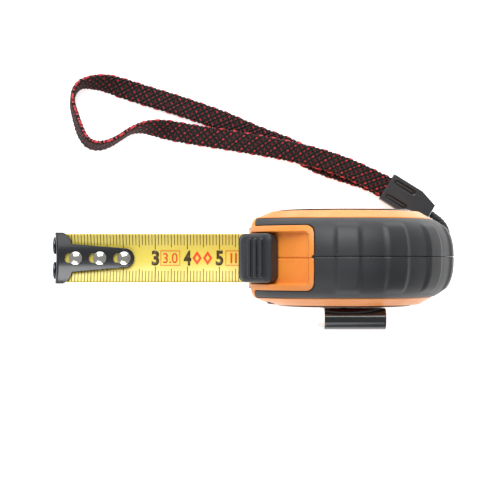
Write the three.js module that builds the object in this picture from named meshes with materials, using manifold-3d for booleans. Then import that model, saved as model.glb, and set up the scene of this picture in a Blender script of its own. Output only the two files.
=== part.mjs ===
// A three metre pocket tape measure with a rubber-jacketed case, standing on its flat base.
// Millimetres. +Z is up, +X runs from the blade's mouth to the back of the case, and +Y is the
// wrist strap's side. The origin is on the base, between the case halves, under the reel's axis.
import * as THREE from 'three';
import { mergeVertices } from 'three/addons/utils/BufferGeometryUtils.js';
import Module from 'manifold-3d';

const wasm = await Module();
wasm.setup();

// Fits
const FIT = 0.2; // between pieces that touch in the real object
const RUNNING = 0.3; // between pieces that move past each other

// Case
const REEL_HEIGHT = 30; // reel axis above the base
const CASE_RADIUS = 31.7; // rubber surface round the reel axis, between the grip pads
const FRONT_REACH = 28.3; // front face ahead of the reel axis
const BACK_CORNER = 10; // lower back corner's radius
const FRONT_CORNER = 1.5;
const HALF_WIDTH = 13.6; // to the flat side face
const JACKET_HALF_WIDTH = 11.4;
const JACKET_THICKNESS = 1.8;
const SHELL_WALL = 1.6;
const FRONT_WALL = 2;
const CROWN_WIDTH = 11.9; // the rubber's crown is a superellipse of this half width
const CROWN_DROP = 10; // and of this depth
const CROWN_POWER = 2.6;
const BEVEL_DROP = 3.8; // orange bevel from the rubber's edge to the side face
const FRONT_CROWN_SHARE = 0.3; // how much of the crown the front takes
const FRONT_BEVEL_SHARE = 1.4; // and how much of the bevel
const BASE_CROWN_SHARE = 0.2; // and how much the base takes
const BASE_FLAT = 7; // half width of the flat that the case stands on
const JACKET_PARTING = 0.4; // the plane between the rubber halves, off the middle to one side
const HALF_STATIONS = 3; // crown steps in half the width
const JACKET_FRONT_TOP = -0.4; // the rubber's slanting front edge, back from the case front
const JACKET_FRONT_FOOT = 8.3;

// Grip pads on the rubber, counted from the top towards the back
const PAD_COUNT = 4;
const PAD_FIRST = -8.4;
const PAD_PITCH = 26.2;
const PAD_ARC = 13.4;
const PAD_HEIGHT = 0.8;
const PAD_HALF_WIDTH = 9.6;

// Lock track, a sloping recess in the top front of the case
const TRACK_SLOPE = THREE.MathUtils.degToRad(40);
const TRACK_RISE = 13.2; // of the track's floor at the front face, above the reel axis
const TRACK_LENGTH = 16.6; // along X
const TRACK_HALF_WIDTH = 7.4;
const FRAME_BORDER = 1.8;
const FRAME_BACK_BORDER = 1.4;

// Lock button, measured along the track's slope (s) and out from its floor (n)
const BUTTON_START = -1;
const BUTTON_LENGTH = 12.2;
const BUTTON_HEIGHT = 3.9;
const BUTTON_CORNER = 2;
const BUTTON_SIDE_GAP = 0.4;
const STEM_START = 0.2;
const STEM_LENGTH = 2.2;
const STEM_HALF_WIDTH = 1.9;
const LOCK_TRAVEL = 7.6;
const RIB_COUNT = 3;
const RIB_FIRST = 3.8;
const RIB_PITCH = 2.1;
const RIB_WIDTH = 1;
const RIB_HEIGHT = 0.5;
const RIB_LENGTH = 11.7;
const SLIDER_LEAD = 0.6;
const SLIDER_LENGTH = 7;
const SLIDER_HALF_WIDTH = 5;
const SLIDER_THICKNESS = 1.8;
const BRAKE_HALF_WIDTH = 4;
const BRAKE_FOOT = 1.8; // thickness at the foot
const BRAKE_LEAF = 1; // and above it

// Blade
const BLADE_WIDTH = 16; // measured round the cup
const BLADE_THICKNESS = 0.4; // steel, paint and film
const BLADE_CUP = 13.7; // cup radius
const BLADE_HEIGHT = 6; // underside of the cup above the base
const BLADE_SHOWN = 58.9; // hook's inner face ahead of the case front
const BLADE_END_GAP = 1.2; // hook's inner face to the blade's end, which lets the hook float
const BLADE_INSIDE = 1.3; // straight stretch inside the mouth

// Mouth
const MOUTH_HALF_WIDTH = 9.6;
const MOUTH_FLOOR = 4.2;
const MOUTH_ROOF = 11.2;
const BUMPER_WALL = 1.1;
const BUMPER_LIP = 0.4; // back from the case front
const BUMPER_DEPTH = 2.5;

// End hook
const HOOK_STEEL = 0.8;
const FLANGE_THICKNESS = 1;
const FLANGE_FOOT = 0.6; // height of the flange's lower edge
const HOOK_HALF_WIDTH = 7.95;
const HOOK_LENGTH = 24.5;
const EAR_LENGTH = 4.6;
const EAR_ROUND = 2;
const HOOK_CORNER = 1.2;
const TONGUE_ROOT = 4.4; // half widths
const TONGUE_TIP = 3.05;
const RIVET_COUNT = 3;
const RIVET_FIRST = 6.2; // from the flange's outer face
const RIVET_PITCH = 7.55;
const RIVET_HEAD = 2;
const RIVET_HEAD_HEIGHT = 0.7;
const RIVET_SHANK = 1.1;
const SLOT_REACH = 3.5;
const SLOT_HALF_WIDTH = 1.45;
const MAGNET_RADIUS = 2.75;
const MAGNET_HEIGHT = 0.9;
const MAGNET_SPREAD = 3.9;
const MAGNET_RISE = 3.9;

// Reel
const COIL_RADIUS = 20;
const COIL_TURNS = 7;
const COIL_BAND = 0.55;
const DRUM_RADIUS = 12.3;
const DRUM_WALL = 0.6;
const FLANGE_RADIUS = 20.3;
const REEL_FLANGE = 0.8;
const REEL_HALF_WIDTH = 8.3;
const SPINDLE_RADIUS = 3.2;
const SPINDLE_HEAD = 4.5;
const SPRING_TURNS = 6;
const SPRING_BAND = 0.4;
const SPRING_HALF_WIDTH = 6.5;

// Side labels, belt clip and screws
const LABEL_RADIUS = 19.75;
const LABEL_THICKNESS = 0.35;
const CLIP_STEEL = 0.8;
const CLIP_GAP = 4.6;
const CLIP_FRONT = -6.7;
const CLIP_BACK = 10.9;
const CLIP_BEND_HEIGHT = 45;
const CLIP_INNER_FOOT = 22;
const CLIP_OUTER_FOOT = 9;
const CLIP_FLARE = 0.8;
const CLIP_ACCESS_HOLE = 3.6;
const CLIP_SCREW_HEAD = 3.2;
const CLIP_SCREW_HEAD_HEIGHT = 1.2;
const CLIP_SCREW_SHANK = 1.1;
const CLIP_SCREW_LENGTH = 8;
const CASE_SCREWS = [[-21.9, -16], [-21.3, 10.3], [18.5, -18.8]]; // from the reel axis, along X and Z
const BOSS_RADIUS = 2;
const CASE_SCREW_HEAD = 1.75;
const CASE_SCREW_HEAD_HEIGHT = 0.7;
const CASE_SCREW_RECESS = 1; // of its seat below the side face
const CASE_SCREW_SHANK = 1;
const CASE_SCREW_REACH = 6; // past the plane between the halves

// Wrist strap
const WEBBING_WIDTH = 6.5;
const WEBBING_THICKNESS = 1.6;
const CORD_DIAMETER = 2;
const CONNECTOR_START = [15.3, 22.5];
const CONNECTOR_TURN = THREE.MathUtils.degToRad(-31.8);
const CONNECTOR_LENGTH = 16;
const CONNECTOR_STRAIGHT = 10.3;
const CONNECTOR_HALF_WIDTH = 4.5;
const CONNECTOR_TIP = 2.8;
const CONNECTOR_HEIGHT = 4.6;
const CONNECTOR_BEVEL = 0.4;
const GROOVE_FROM = 1.4; // two grooves along the connector's top
const GROOVE_TO = 8.5;
const GROOVE_SPREAD = 2.6;
const GROOVE_HALF_WIDTH = 0.6;
const GROOVE_DEPTH = 0.5;
const EYE_HALF_HEIGHT = 2.6; // of the solid corner that the cord's hole runs through
const EYE_INNER_END = 15.5;
const EYE_WALL = 1.5;
// Each point of the webbing's route: X, Y, how high its lowest edge lies, and in degrees how far
// it is rolled. It stands on edge round the loop's end, and has made half a turn when it comes back.
const WEBBING_POINTS = [
  [14.9, 22.75, 2.35, 180], [9.7, 25.2, 2.3, 180], [2.8, 28.3, 2.1, 180], [-6.3, 31.4, 2.05, 180],
  [-15.4, 33.6, 2.05, 180], [-24.8, 35.4, 2.05, 180], [-36.8, 37.4, 2, 180], [-44, 38.6, 1.4, 180],
  [-51.2, 39.9, 0.5, 171], [-56.4, 40.8, 0.1, 146], [-60.8, 41, 0.1, 118], [-65.2, 39.9, 0.1, 96],
  [-68.5, 37.9, 0.1, 93], [-71.8, 36.1, 0.1, 99], [-75.1, 35.3, 0.1, 107], [-78.1, 36, 0.1, 112],
  [-80, 38, 0.1, 112], [-81.1, 40.3, 0.1, 111], [-82.4, 44.4, 0.1, 107], [-83.4, 48.6, 0.1, 100],
  [-83, 51.9, 0.1, 92], [-81.2, 54.2, 0.1, 80], [-78.2, 55.1, 0.1, 62], [-73, 55, 0.1, 36],
  [-67.4, 53.4, 0.1, 12], [-60.7, 51.3, 0.1, 2], [-51.2, 48.4, 0.1, 0], [-36.8, 43.4, 0.1, 0],
  [-26, 38.8, 0.1, 0], [-15.1, 34.6, 0.1, 0], [-6, 29.9, 0.1, 0], [2.8, 26.8, 0.15, 0],
  [9.2, 24.7, 0.4, 0], [14.55, 22.3, 0.55, 0],
];
const CORD_POINTS = [
  [29.2, 13.85, 2.3], [30.6, 12.9, 2.3], [32.2, 11.6, 2.2], [33.6, 9.8, 2.1], [34.3, 7.6, 2.1],
  [34.1, 5.4, 2.2], [33, 3.6, 2.3], [31.3, 2.6, 2.4], [29.3, 2.4, 2.4], [25, 2.4, 2.4],
  [20, 2.4, 2.4], [15.9, 2.4, 2.4],
];
const EYE_CENTRE = [2.4, 2.4]; // the hole's place across the case and above the base

// Colours
const ORANGE = { color: 0xf08a3c, roughness: 0.4, metalness: 0 };
const RUBBER = { color: 0x3c3c40, roughness: 0.75, metalness: 0 };
const BLACK_PLASTIC = { color: 0x2e2f33, roughness: 0.5, metalness: 0 };
const BLACK_STEEL = { color: 0x26282b, roughness: 0.35, metalness: 0.5 };
const BRIGHT_STEEL = { color: 0xc8c8c8, roughness: 0.25, metalness: 1 };
const YELLOW_BLADE = { color: 0xf0dc6e, roughness: 0.35, metalness: 0 };
const LABEL_PRINT = { color: 0xe8e4dc, roughness: 0.4, metalness: 0 };
const WHITE_PLASTIC = { color: 0xd9d7cf, roughness: 0.5, metalness: 0 };
const STRAP_YARN = { color: 0x1c1b1d, roughness: 0.9, metalness: 0 };

const FAR = 100; // longer than the object, for cutting tools

// Solids from geometries, and geometries from solids

function solid(geometry) {
  const bare = geometry.clone();
  bare.deleteAttribute('normal');
  bare.deleteAttribute('uv');
  const merged = mergeVertices(bare, 1e-4);
  return new wasm.Manifold(new wasm.Mesh({
    numProp: 3,
    vertProperties: Float32Array.from(merged.attributes.position.array),
    triVerts: Uint32Array.from(merged.index.array),
  }));
}

function geometryOf(manifold) {
  const mesh = manifold.getMesh();
  const geometry = new THREE.BufferGeometry();
  geometry.setAttribute('position', new THREE.BufferAttribute(mesh.vertProperties, 3));
  geometry.setIndex(new THREE.BufferAttribute(mesh.triVerts, 1));
  return geometry;
}

function polygon(points) {
  return new THREE.Shape(points.map(([x, y]) => new THREE.Vector2(x, y)));
}

// An outline in X and Z, extruded across the case from one Y to another
function plate(shape, yFrom, yTo, steps = 1) {
  const options = { depth: yTo - yFrom, steps, bevelEnabled: false, curveSegments: 10 };
  return new THREE.ExtrudeGeometry(shape, options).translate(0, 0, -yTo).rotateX(Math.PI / 2);
}

function box(x0, x1, y0, y1, z0, z1) {
  const geometry = new THREE.BoxGeometry(x1 - x0, y1 - y0, z1 - z0);
  return geometry.translate((x0 + x1) / 2, (y0 + y1) / 2, (z0 + z1) / 2);
}

// A round piece about a line along Y: the profile's points are [radius, y]
function turned(profile, x, z, segments = 24) {
  const points = profile.map(([radius, y]) => new THREE.Vector2(radius, y));
  return new THREE.LatheGeometry(points, segments).translate(x, 0, z);
}

// An outline in Y and Z, extruded along the case from one X to another
function lengthwise(shape, xFrom, xTo, curveSegments) {
  const options = { depth: xTo - xFrom, bevelEnabled: false, curveSegments };
  const geometry = new THREE.ExtrudeGeometry(shape, options);
  return geometry.rotateX(Math.PI / 2).rotateZ(Math.PI / 2).translate(xFrom, 0, 0);
}

function rod(radius, yFrom, yTo, x, z, segments = 16) {
  const length = yTo - yFrom;
  const geometry = new THREE.CylinderGeometry(radius, radius, length, segments);
  return geometry.translate(x, (yFrom + yTo) / 2, z);
}

// The case's body

function crownInset(y) {
  const across = Math.min(Math.abs(y), JACKET_HALF_WIDTH) / CROWN_WIDTH;
  return CROWN_DROP * (1 - (1 - across ** CROWN_POWER) ** (1 / CROWN_POWER));
}

function bevelInset(y) {
  const past = Math.max(Math.abs(y) - JACKET_HALF_WIDTH, 0);
  return (BEVEL_DROP * past) / (HALF_WIDTH - JACKET_HALF_WIDTH);
}

// Draws the outline in towards the reel axis as the crown falls away, least at front and base,
// and leaves a flat along the middle of the base
function crowned(geometry) {
  const position = geometry.attributes.position;
  for (let i = 0; i < position.count; i += 1) {
    const [x, y, z] = [position.getX(i), position.getY(i), position.getZ(i) - REEL_HEIGHT];
    const [crown, bevel] = [crownInset(y), bevelInset(y)];
    const round = (crown + bevel) / CASE_RADIUS;
    const front = (FRONT_CROWN_SHARE * crown + FRONT_BEVEL_SHARE * bevel) / FRONT_REACH;
    const baseInset = BASE_CROWN_SHARE * Math.max(crown + bevel - crownInset(BASE_FLAT), 0);
    const alongX = x > 0 ? round : front;
    const alongZ = z > 0 ? round : baseInset / REEL_HEIGHT;
    position.setXYZ(i, x * (1 - alongX), y, REEL_HEIGHT + z * (1 - alongZ));
  }
  return geometry;
}

function caseOutline(depth, frontDepth) {
  const radius = CASE_RADIUS - depth;
  const front = FRONT_REACH - frontDepth;
  const corner = BACK_CORNER - depth;
  const shape = new THREE.Shape();
  shape.moveTo(-front + FRONT_CORNER, depth);
  shape.lineTo(radius - corner, depth);
  shape.absarc(radius - corner, depth + corner, corner, -Math.PI / 2, 0);
  shape.absarc(0, REEL_HEIGHT, radius, 0, Math.acos(-front / radius));
  shape.lineTo(-front, depth + FRONT_CORNER);
  return shape;
}

// The whole case shrunk by a depth, with its crown steps closest together near the sides
function caseBlock(depth, frontDepth, halfWidth) {
  const outline = caseOutline(depth, frontDepth);
  const geometry = plate(outline, -halfWidth, halfWidth, 2 * HALF_STATIONS);
  const position = geometry.attributes.position;
  for (let i = 0; i < position.count; i += 1) {
    const share = position.getY(i) / halfWidth;
    position.setY(i, halfWidth * Math.sin((share * Math.PI) / 2));
  }
  return solid(crowned(geometry));
}

function halfSpace(side, parting = 0) {
  const [y0, y1] = side > 0 ? [parting + FIT / 2, FAR] : [-FAR, parting - FIT / 2];
  return solid(box(-FAR, FAR, y0, y1, -FAR, FAR));
}

// Where the rubber lies: behind a leaning front edge, and clear of the lock track's frame
function jacketZone(clear) {
  const top = [JACKET_FRONT_TOP + clear - FRONT_REACH, 2 * REEL_HEIGHT];
  const foot = [JACKET_FRONT_FOOT + clear - FRONT_REACH, -1];
  const outline = polygon([top, foot, [FAR, -1], [FAR, FAR], [top[0], FAR]]);
  const halfWidth = JACKET_HALF_WIDTH - clear;
  const frameWidth = TRACK_HALF_WIDTH + FRAME_BORDER + clear;
  const frameBack = -FRONT_REACH + TRACK_LENGTH + FRAME_BACK_BORDER + clear;
  const frame = box(-FAR, frameBack, -frameWidth, frameWidth, REEL_HEIGHT, FAR);
  const [eyeFrom, eyeSide] = [EYE_INNER_END - EYE_WALL - clear, 2 * EYE_CENTRE[0] + clear];
  const eye = box(eyeFrom, FAR, 0, eyeSide, -1, 2 * EYE_HALF_HEIGHT + clear);
  return solid(plate(outline, -halfWidth, halfWidth)).subtract(solid(frame)).subtract(solid(eye));
}

const trackFoot = REEL_HEIGHT + TRACK_RISE;

// A point of the lock track: s up the slope from the front face, n out from the floor
function onTrack(s, n) {
  return [
    -FRONT_REACH + s * Math.cos(TRACK_SLOPE) - n * Math.sin(TRACK_SLOPE),
    trackFoot + s * Math.sin(TRACK_SLOPE) + n * Math.cos(TRACK_SLOPE),
  ];
}

function trackBlock(s0, s1, n0, n1, halfWidth) {
  const corners = [onTrack(s0, n0), onTrack(s1, n0), onTrack(s1, n1), onTrack(s0, n1)];
  return solid(plate(polygon(corners), -halfWidth, halfWidth));
}

const trackRun = TRACK_LENGTH / Math.cos(TRACK_SLOPE);

function trackRecess() {
  const back = -FRONT_REACH + TRACK_LENGTH;
  const floor = [onTrack(-10, 0), onTrack(trackRun, 0)];
  const outline = polygon([...floor, [back, FAR], [onTrack(-10, 0)[0], FAR]]);
  return solid(plate(outline, -TRACK_HALF_WIDTH, TRACK_HALF_WIDTH));
}

function trackSlot() {
  const end = STEM_START + STEM_LENGTH + LOCK_TRAVEL + RUNNING;
  return trackBlock(STEM_START - RUNNING, end, -5, 5, STEM_HALF_WIDTH + RUNNING);
}

const sliderStart = STEM_START - SLIDER_LEAD;
const sliderTop = -SHELL_WALL - RUNNING - FIT;

// Room under the track's floor for the slider and its travel
function sliderPocket() {
  const end = sliderStart + SLIDER_LENGTH + LOCK_TRAVEL + RUNNING;
  const bottom = sliderTop - SLIDER_THICKNESS - RUNNING;
  return trackBlock(sliderStart - RUNNING, end, bottom, -SHELL_WALL, SLIDER_HALF_WIDTH + RUNNING);
}

const cavityHalfWidth = HALF_WIDTH - SHELL_WALL;
const cavityDepth = JACKET_THICKNESS + SHELL_WALL;
const envelope = caseBlock(0, 0, HALF_WIDTH);
const substrate = caseBlock(JACKET_THICKNESS, JACKET_THICKNESS, HALF_WIDTH);
const cavity = caseBlock(cavityDepth, FRONT_WALL, cavityHalfWidth);
const jacketSpace = jacketZone(0).subtract(substrate);

function mouthCut() {
  const cut = box(-FAR, 6 - FRONT_REACH, -MOUTH_HALF_WIDTH, MOUTH_HALF_WIDTH, MOUTH_FLOOR, MOUTH_ROOF);
  return solid(cut);
}

function screwBosses(side) {
  const [y0, y1] = side > 0 ? [FIT / 2, cavityHalfWidth + 0.5] : [-cavityHalfWidth - 0.5, -FIT / 2];
  const bosses = CASE_SCREWS.map(([x, z]) => solid(rod(BOSS_RADIUS, y0, y1, x, REEL_HEIGHT + z)));
  return wasm.Manifold.union(bosses);
}

function screwHoles() {
  const holes = CASE_SCREWS.map(([x, z]) => solid(turned([
    [0, -FAR], [CASE_SCREW_HEAD + FIT, -FAR], [CASE_SCREW_HEAD + FIT, CASE_SCREW_RECESS - HALF_WIDTH],
    [CASE_SCREW_SHANK + FIT, CASE_SCREW_RECESS - HALF_WIDTH],
    [CASE_SCREW_SHANK + FIT, CASE_SCREW_REACH + FIT], [0, CASE_SCREW_REACH + FIT],
  ], x, REEL_HEIGHT + z, 16)));
  return wasm.Manifold.union(holes);
}

// The two case halves, with the lock track's floor, the mouth and the screw bosses
function caseShell(side) {
  const floor = trackBlock(-2, trackRun + 1, -SHELL_WALL, 0, TRACK_HALF_WIDTH + SHELL_WALL);
  let shell = envelope.subtract(cavity).add(floor.intersect(envelope)).add(screwBosses(side));
  shell = shell.subtract(jacketSpace).intersect(halfSpace(side));
  shell = shell.subtract(trackRecess()).subtract(trackSlot()).subtract(sliderPocket());
  shell = shell.subtract(mouthCut()).subtract(screwHoles());
  if (side > 0) {
    const [eyeY, eyeZ] = EYE_CENTRE;
    const block = box(EYE_INNER_END - EYE_WALL, FAR, FIT / 2, 2 * eyeY, 1, 2 * EYE_HALF_HEIGHT);
    const holeRadius = CORD_DIAMETER / 2 + RUNNING;
    const hole = new THREE.CylinderGeometry(holeRadius, holeRadius, FAR, 12);
    hole.rotateZ(Math.PI / 2).translate(EYE_INNER_END + FAR / 2, eyeY, eyeZ);
    shell = shell.add(solid(block).intersect(envelope)).subtract(solid(hole));
  } else {
    shell = shell.subtract(solid(rod(CLIP_SCREW_SHANK + FIT, -FAR, 0, 0, REEL_HEIGHT)));
  }
  return geometryOf(shell);
}

function gripPads() {
  const pads = [];
  for (let i = 0; i < PAD_COUNT; i += 1) {
    const start = THREE.MathUtils.degToRad(90 - PAD_FIRST - i * PAD_PITCH);
    const end = start - THREE.MathUtils.degToRad(PAD_ARC);
    const shape = new THREE.Shape();
    shape.absarc(0, REEL_HEIGHT, CASE_RADIUS - 0.5, start, end, true);
    shape.absarc(0, REEL_HEIGHT, CASE_RADIUS + PAD_HEIGHT, end, start, false);
    pads.push(solid(crowned(plate(shape, -PAD_HALF_WIDTH, PAD_HALF_WIDTH, HALF_STATIONS))));
  }
  return wasm.Manifold.union(pads);
}

function rubberGrip(side) {
  const inner = JACKET_THICKNESS - FIT;
  const jacket = envelope.intersect(jacketZone(FIT)).add(gripPads());
  const half = halfSpace(side, JACKET_PARTING);
  return geometryOf(jacket.subtract(caseBlock(inner, inner, HALF_WIDTH)).intersect(half));
}

// Lock

function lockButton() {
  const halfWidth = TRACK_HALF_WIDTH - BUTTON_SIDE_GAP;
  const cap = new THREE.Shape();
  const [s0, s1] = [BUTTON_START, BUTTON_START + BUTTON_LENGTH];
  cap.absarc(s1 - BUTTON_CORNER, halfWidth - BUTTON_CORNER, BUTTON_CORNER, 0, Math.PI / 2);
  cap.absarc(s0 + BUTTON_CORNER, halfWidth - BUTTON_CORNER, BUTTON_CORNER, Math.PI / 2, Math.PI);
  cap.absarc(s0 + BUTTON_CORNER, BUTTON_CORNER - halfWidth, BUTTON_CORNER, Math.PI, 1.5 * Math.PI);
  cap.absarc(s1 - BUTTON_CORNER, BUTTON_CORNER - halfWidth, BUTTON_CORNER, 1.5 * Math.PI, 2 * Math.PI);
  const bevel = 0.6;
  const body = new THREE.ExtrudeGeometry(cap, {
    depth: BUTTON_HEIGHT - 2 * bevel, bevelThickness: bevel, bevelSize: bevel, bevelOffset: -bevel,
    bevelSegments: 2, curveSegments: 4,
  });
  body.translate(0, 0, RUNNING + bevel).rotateY(-TRACK_SLOPE).translate(-FRONT_REACH, 0, trackFoot);
  let button = solid(body);
  const top = RUNNING + BUTTON_HEIGHT;
  for (let i = 0; i < RIB_COUNT; i += 1) {
    const s = RIB_FIRST + i * RIB_PITCH - RIB_WIDTH / 2;
    button = button.add(trackBlock(s, s + RIB_WIDTH, top - 0.4, top + RIB_HEIGHT, RIB_LENGTH / 2));
  }
  const under = -SHELL_WALL - RUNNING;
  const stem = trackBlock(STEM_START, STEM_START + STEM_LENGTH, under, top - 1, STEM_HALF_WIDTH);
  return geometryOf(button.add(stem));
}

function lockSlider() {
  const [end, bottom] = [sliderStart + SLIDER_LENGTH, sliderTop - SLIDER_THICKNESS];
  return geometryOf(trackBlock(sliderStart, end, bottom, sliderTop, SLIDER_HALF_WIDTH));
}

function brakeLeaf() {
  const front = -FRONT_REACH + FRONT_WALL + RUNNING;
  const [thick, thin] = [front + BRAKE_FOOT, front + BRAKE_LEAF];
  const [foot, head] = [MOUTH_ROOF + 0.5, trackFoot - 4.5];
  const outline = polygon([
    [front, foot], [thick, foot], [thick, foot + 1], [thin, foot + 2], [thin, head], [front, head],
  ]);
  return plate(outline, -BRAKE_HALF_WIDTH, BRAKE_HALF_WIDTH);
}

// Blade and hook

const cupCentre = BLADE_HEIGHT + BLADE_CUP;
const hookInner = -FRONT_REACH - BLADE_SHOWN;
const hookOuter = hookInner - FLANGE_THICKNESS;
const bladeTop = BLADE_HEIGHT + BLADE_THICKNESS;

// A strip curved like the blade, between two cup radii, extruded along X
function cuppedStrip(outerRadius, innerRadius, halfAngle, x0, x1) {
  const shape = new THREE.Shape();
  const down = -Math.PI / 2;
  shape.absarc(0, cupCentre, outerRadius, down - halfAngle, down + halfAngle, false);
  shape.absarc(0, cupCentre, innerRadius, down + halfAngle, down - halfAngle, true);
  return lengthwise(shape, x0, x1, 8);
}

function rivetPlaces() {
  return Array.from({ length: RIVET_COUNT }, (_, i) => hookOuter + RIVET_FIRST + i * RIVET_PITCH);
}

function upright(radius, x, z0, z1, segments = 12) {
  const geometry = new THREE.CylinderGeometry(radius, radius, z1 - z0, segments);
  return geometry.rotateX(Math.PI / 2).translate(x, 0, (z0 + z1) / 2);
}

function bladeStrip() {
  const halfAngle = BLADE_WIDTH / 2 / BLADE_CUP;
  const [x0, x1] = [hookInner + BLADE_END_GAP, -FRONT_REACH + BLADE_INSIDE];
  let strip = solid(cuppedStrip(BLADE_CUP, BLADE_CUP - BLADE_THICKNESS, halfAngle, x0, x1));
  for (const x of rivetPlaces()) {
    strip = strip.subtract(solid(upright(RIVET_SHANK + FIT, x, 0, cupCentre)));
  }
  return geometryOf(strip);
}

// The steady run of blade between the mouth and the reel
function bladeLead() {
  const start = -FRONT_REACH + BLADE_INSIDE + RUNNING;
  const foot = REEL_HEIGHT - FLANGE_RADIUS;
  const curve = new THREE.CubicBezierCurve(
    new THREE.Vector2(start, bladeTop + 0.6), new THREE.Vector2(start / 2, bladeTop + 0.6),
    new THREE.Vector2(start / 3, foot - 1), new THREE.Vector2(-1, foot - 0.5),
  );
  const under = curve.getPoints(8);
  const over = under.map((p) => new THREE.Vector2(p.x, p.y + BLADE_THICKNESS)).reverse();
  return plate(new THREE.Shape([...under, ...over]), -BLADE_WIDTH / 2 + 0.5, BLADE_WIDTH / 2 - 0.5);
}

function endHook() {
  const lower = BLADE_CUP - BLADE_THICKNESS - FIT;
  const upper = lower - HOOK_STEEL;
  const halfAngle = Math.asin(HOOK_HALF_WIDTH / lower);
  const tip = hookOuter + HOOK_LENGTH;
  const ear = hookOuter + EAR_LENGTH;
  const plan = new THREE.Shape();
  plan.moveTo(hookOuter, -HOOK_HALF_WIDTH);
  plan.lineTo(ear - EAR_ROUND, -HOOK_HALF_WIDTH);
  plan.quadraticCurveTo(ear, -HOOK_HALF_WIDTH + 1, ear + 0.6, -TONGUE_ROOT);
  plan.lineTo(tip - TONGUE_TIP, -TONGUE_TIP);
  plan.absarc(tip - TONGUE_TIP, 0, TONGUE_TIP, -Math.PI / 2, Math.PI / 2);
  plan.lineTo(ear + 0.6, TONGUE_ROOT);
  plan.quadraticCurveTo(ear, HOOK_HALF_WIDTH - 1, ear - EAR_ROUND, HOOK_HALF_WIDTH);
  plan.lineTo(hookOuter, HOOK_HALF_WIDTH);
  const cutter = new THREE.ExtrudeGeometry(plan, { depth: FAR, bevelEnabled: false, curveSegments: 6 });
  let tongue = solid(cuppedStrip(lower, upper, halfAngle, hookOuter, tip)).intersect(solid(cutter));
  for (const x of rivetPlaces()) {
    const slotEnd = x - SLOT_REACH + SLOT_HALF_WIDTH;
    const slot = box(slotEnd, x, -SLOT_HALF_WIDTH, SLOT_HALF_WIDTH, 0, FAR);
    tongue = tongue.subtract(solid(slot));
    tongue = tongue.subtract(solid(upright(SLOT_HALF_WIDTH, x, 0, cupCentre)));
    tongue = tongue.subtract(solid(upright(SLOT_HALF_WIDTH, slotEnd, 0, cupCentre)));
  }
  const face = new THREE.Shape();
  const [cornerSide, cornerHeight] = [HOOK_HALF_WIDTH - HOOK_CORNER, FLANGE_FOOT + HOOK_CORNER];
  face.absarc(-cornerSide, cornerHeight, HOOK_CORNER, Math.PI, 1.5 * Math.PI);
  face.absarc(cornerSide, cornerHeight, HOOK_CORNER, 1.5 * Math.PI, 2 * Math.PI);
  const halfAngleUpper = Math.asin(HOOK_HALF_WIDTH / upper);
  const down = -Math.PI / 2;
  face.absarc(0, cupCentre, upper, down + halfAngleUpper, down - halfAngleUpper, true);
  return geometryOf(solid(lengthwise(face, hookOuter, hookInner, 4)).add(tongue));
}

function hookRivet(x) {
  const seat = bladeTop + FIT + HOOK_STEEL + FIT;
  const foot = BLADE_HEIGHT - 0.1;
  const profile = [
    [0, foot - 0.4], [1.6, foot - 0.4], [1.6, foot], [RIVET_SHANK, foot], [RIVET_SHANK, seat],
    [RIVET_HEAD, seat], [RIVET_HEAD * 0.8, seat + RIVET_HEAD_HEIGHT * 0.75], [0, seat + RIVET_HEAD_HEIGHT],
  ];
  return turned(profile, 0, 0, 14).rotateX(Math.PI / 2).translate(x, 0, 0);
}

function hookMagnet(side) {
  const geometry = new THREE.CylinderGeometry(MAGNET_RADIUS, MAGNET_RADIUS, MAGNET_HEIGHT, 20);
  const x = hookOuter - 0.1 - MAGNET_HEIGHT / 2;
  return geometry.rotateZ(Math.PI / 2).translate(x, side * MAGNET_SPREAD, MAGNET_RISE);
}

function mouthBumper() {
  const x0 = BUMPER_LIP - FRONT_REACH;
  const wide = MOUTH_HALF_WIDTH - FIT;
  const [low, high] = [MOUTH_FLOOR + FIT, MOUTH_ROOF - FIT];
  const clear = wide - BUMPER_WALL;
  const inner = box(-FAR, 0, -clear, clear, low + 0.9, high - BUMPER_WALL);
  const outer = box(x0, x0 + BUMPER_DEPTH, -wide, wide, low, high);
  return geometryOf(solid(outer).subtract(solid(inner)));
}

// Reel

function spiralBand(innerRadius, outerRadius, turns, band, halfWidth) {
  const stepsPerTurn = 15;
  const edge = (offset) => Array.from({ length: turns * stepsPerTurn + 1 }, (_, i) => {
    const angle = (i / stepsPerTurn) * 2 * Math.PI - Math.PI / 2;
    const grow = (outerRadius - band - innerRadius) * (i / (turns * stepsPerTurn));
    const radius = innerRadius + grow + offset;
    return new THREE.Vector2(radius * Math.cos(angle), REEL_HEIGHT + radius * Math.sin(angle));
  });
  return plate(new THREE.Shape([...edge(band), ...edge(0).reverse()]), -halfWidth, halfWidth);
}

function reelDrum() {
  const [bore, rim] = [SPINDLE_RADIUS + RUNNING, DRUM_RADIUS - DRUM_WALL];
  const [inside, outside] = [REEL_HALF_WIDTH, REEL_HALF_WIDTH + REEL_FLANGE];
  return turned([
    [bore, inside], [rim, inside], [rim, FIT - inside], [DRUM_RADIUS, FIT - inside], [DRUM_RADIUS, inside],
    [FLANGE_RADIUS, inside], [FLANGE_RADIUS, outside], [bore, outside], [bore, inside],
  ], 0, REEL_HEIGHT, 28);
}

function reelCover() {
  const bore = SPINDLE_RADIUS + RUNNING;
  const [inside, outside] = [-REEL_HALF_WIDTH, -REEL_HALF_WIDTH - REEL_FLANGE];
  return turned([
    [bore, outside], [FLANGE_RADIUS, outside], [FLANGE_RADIUS, inside], [bore, inside], [bore, outside],
  ], 0, REEL_HEIGHT, 28);
}

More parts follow.
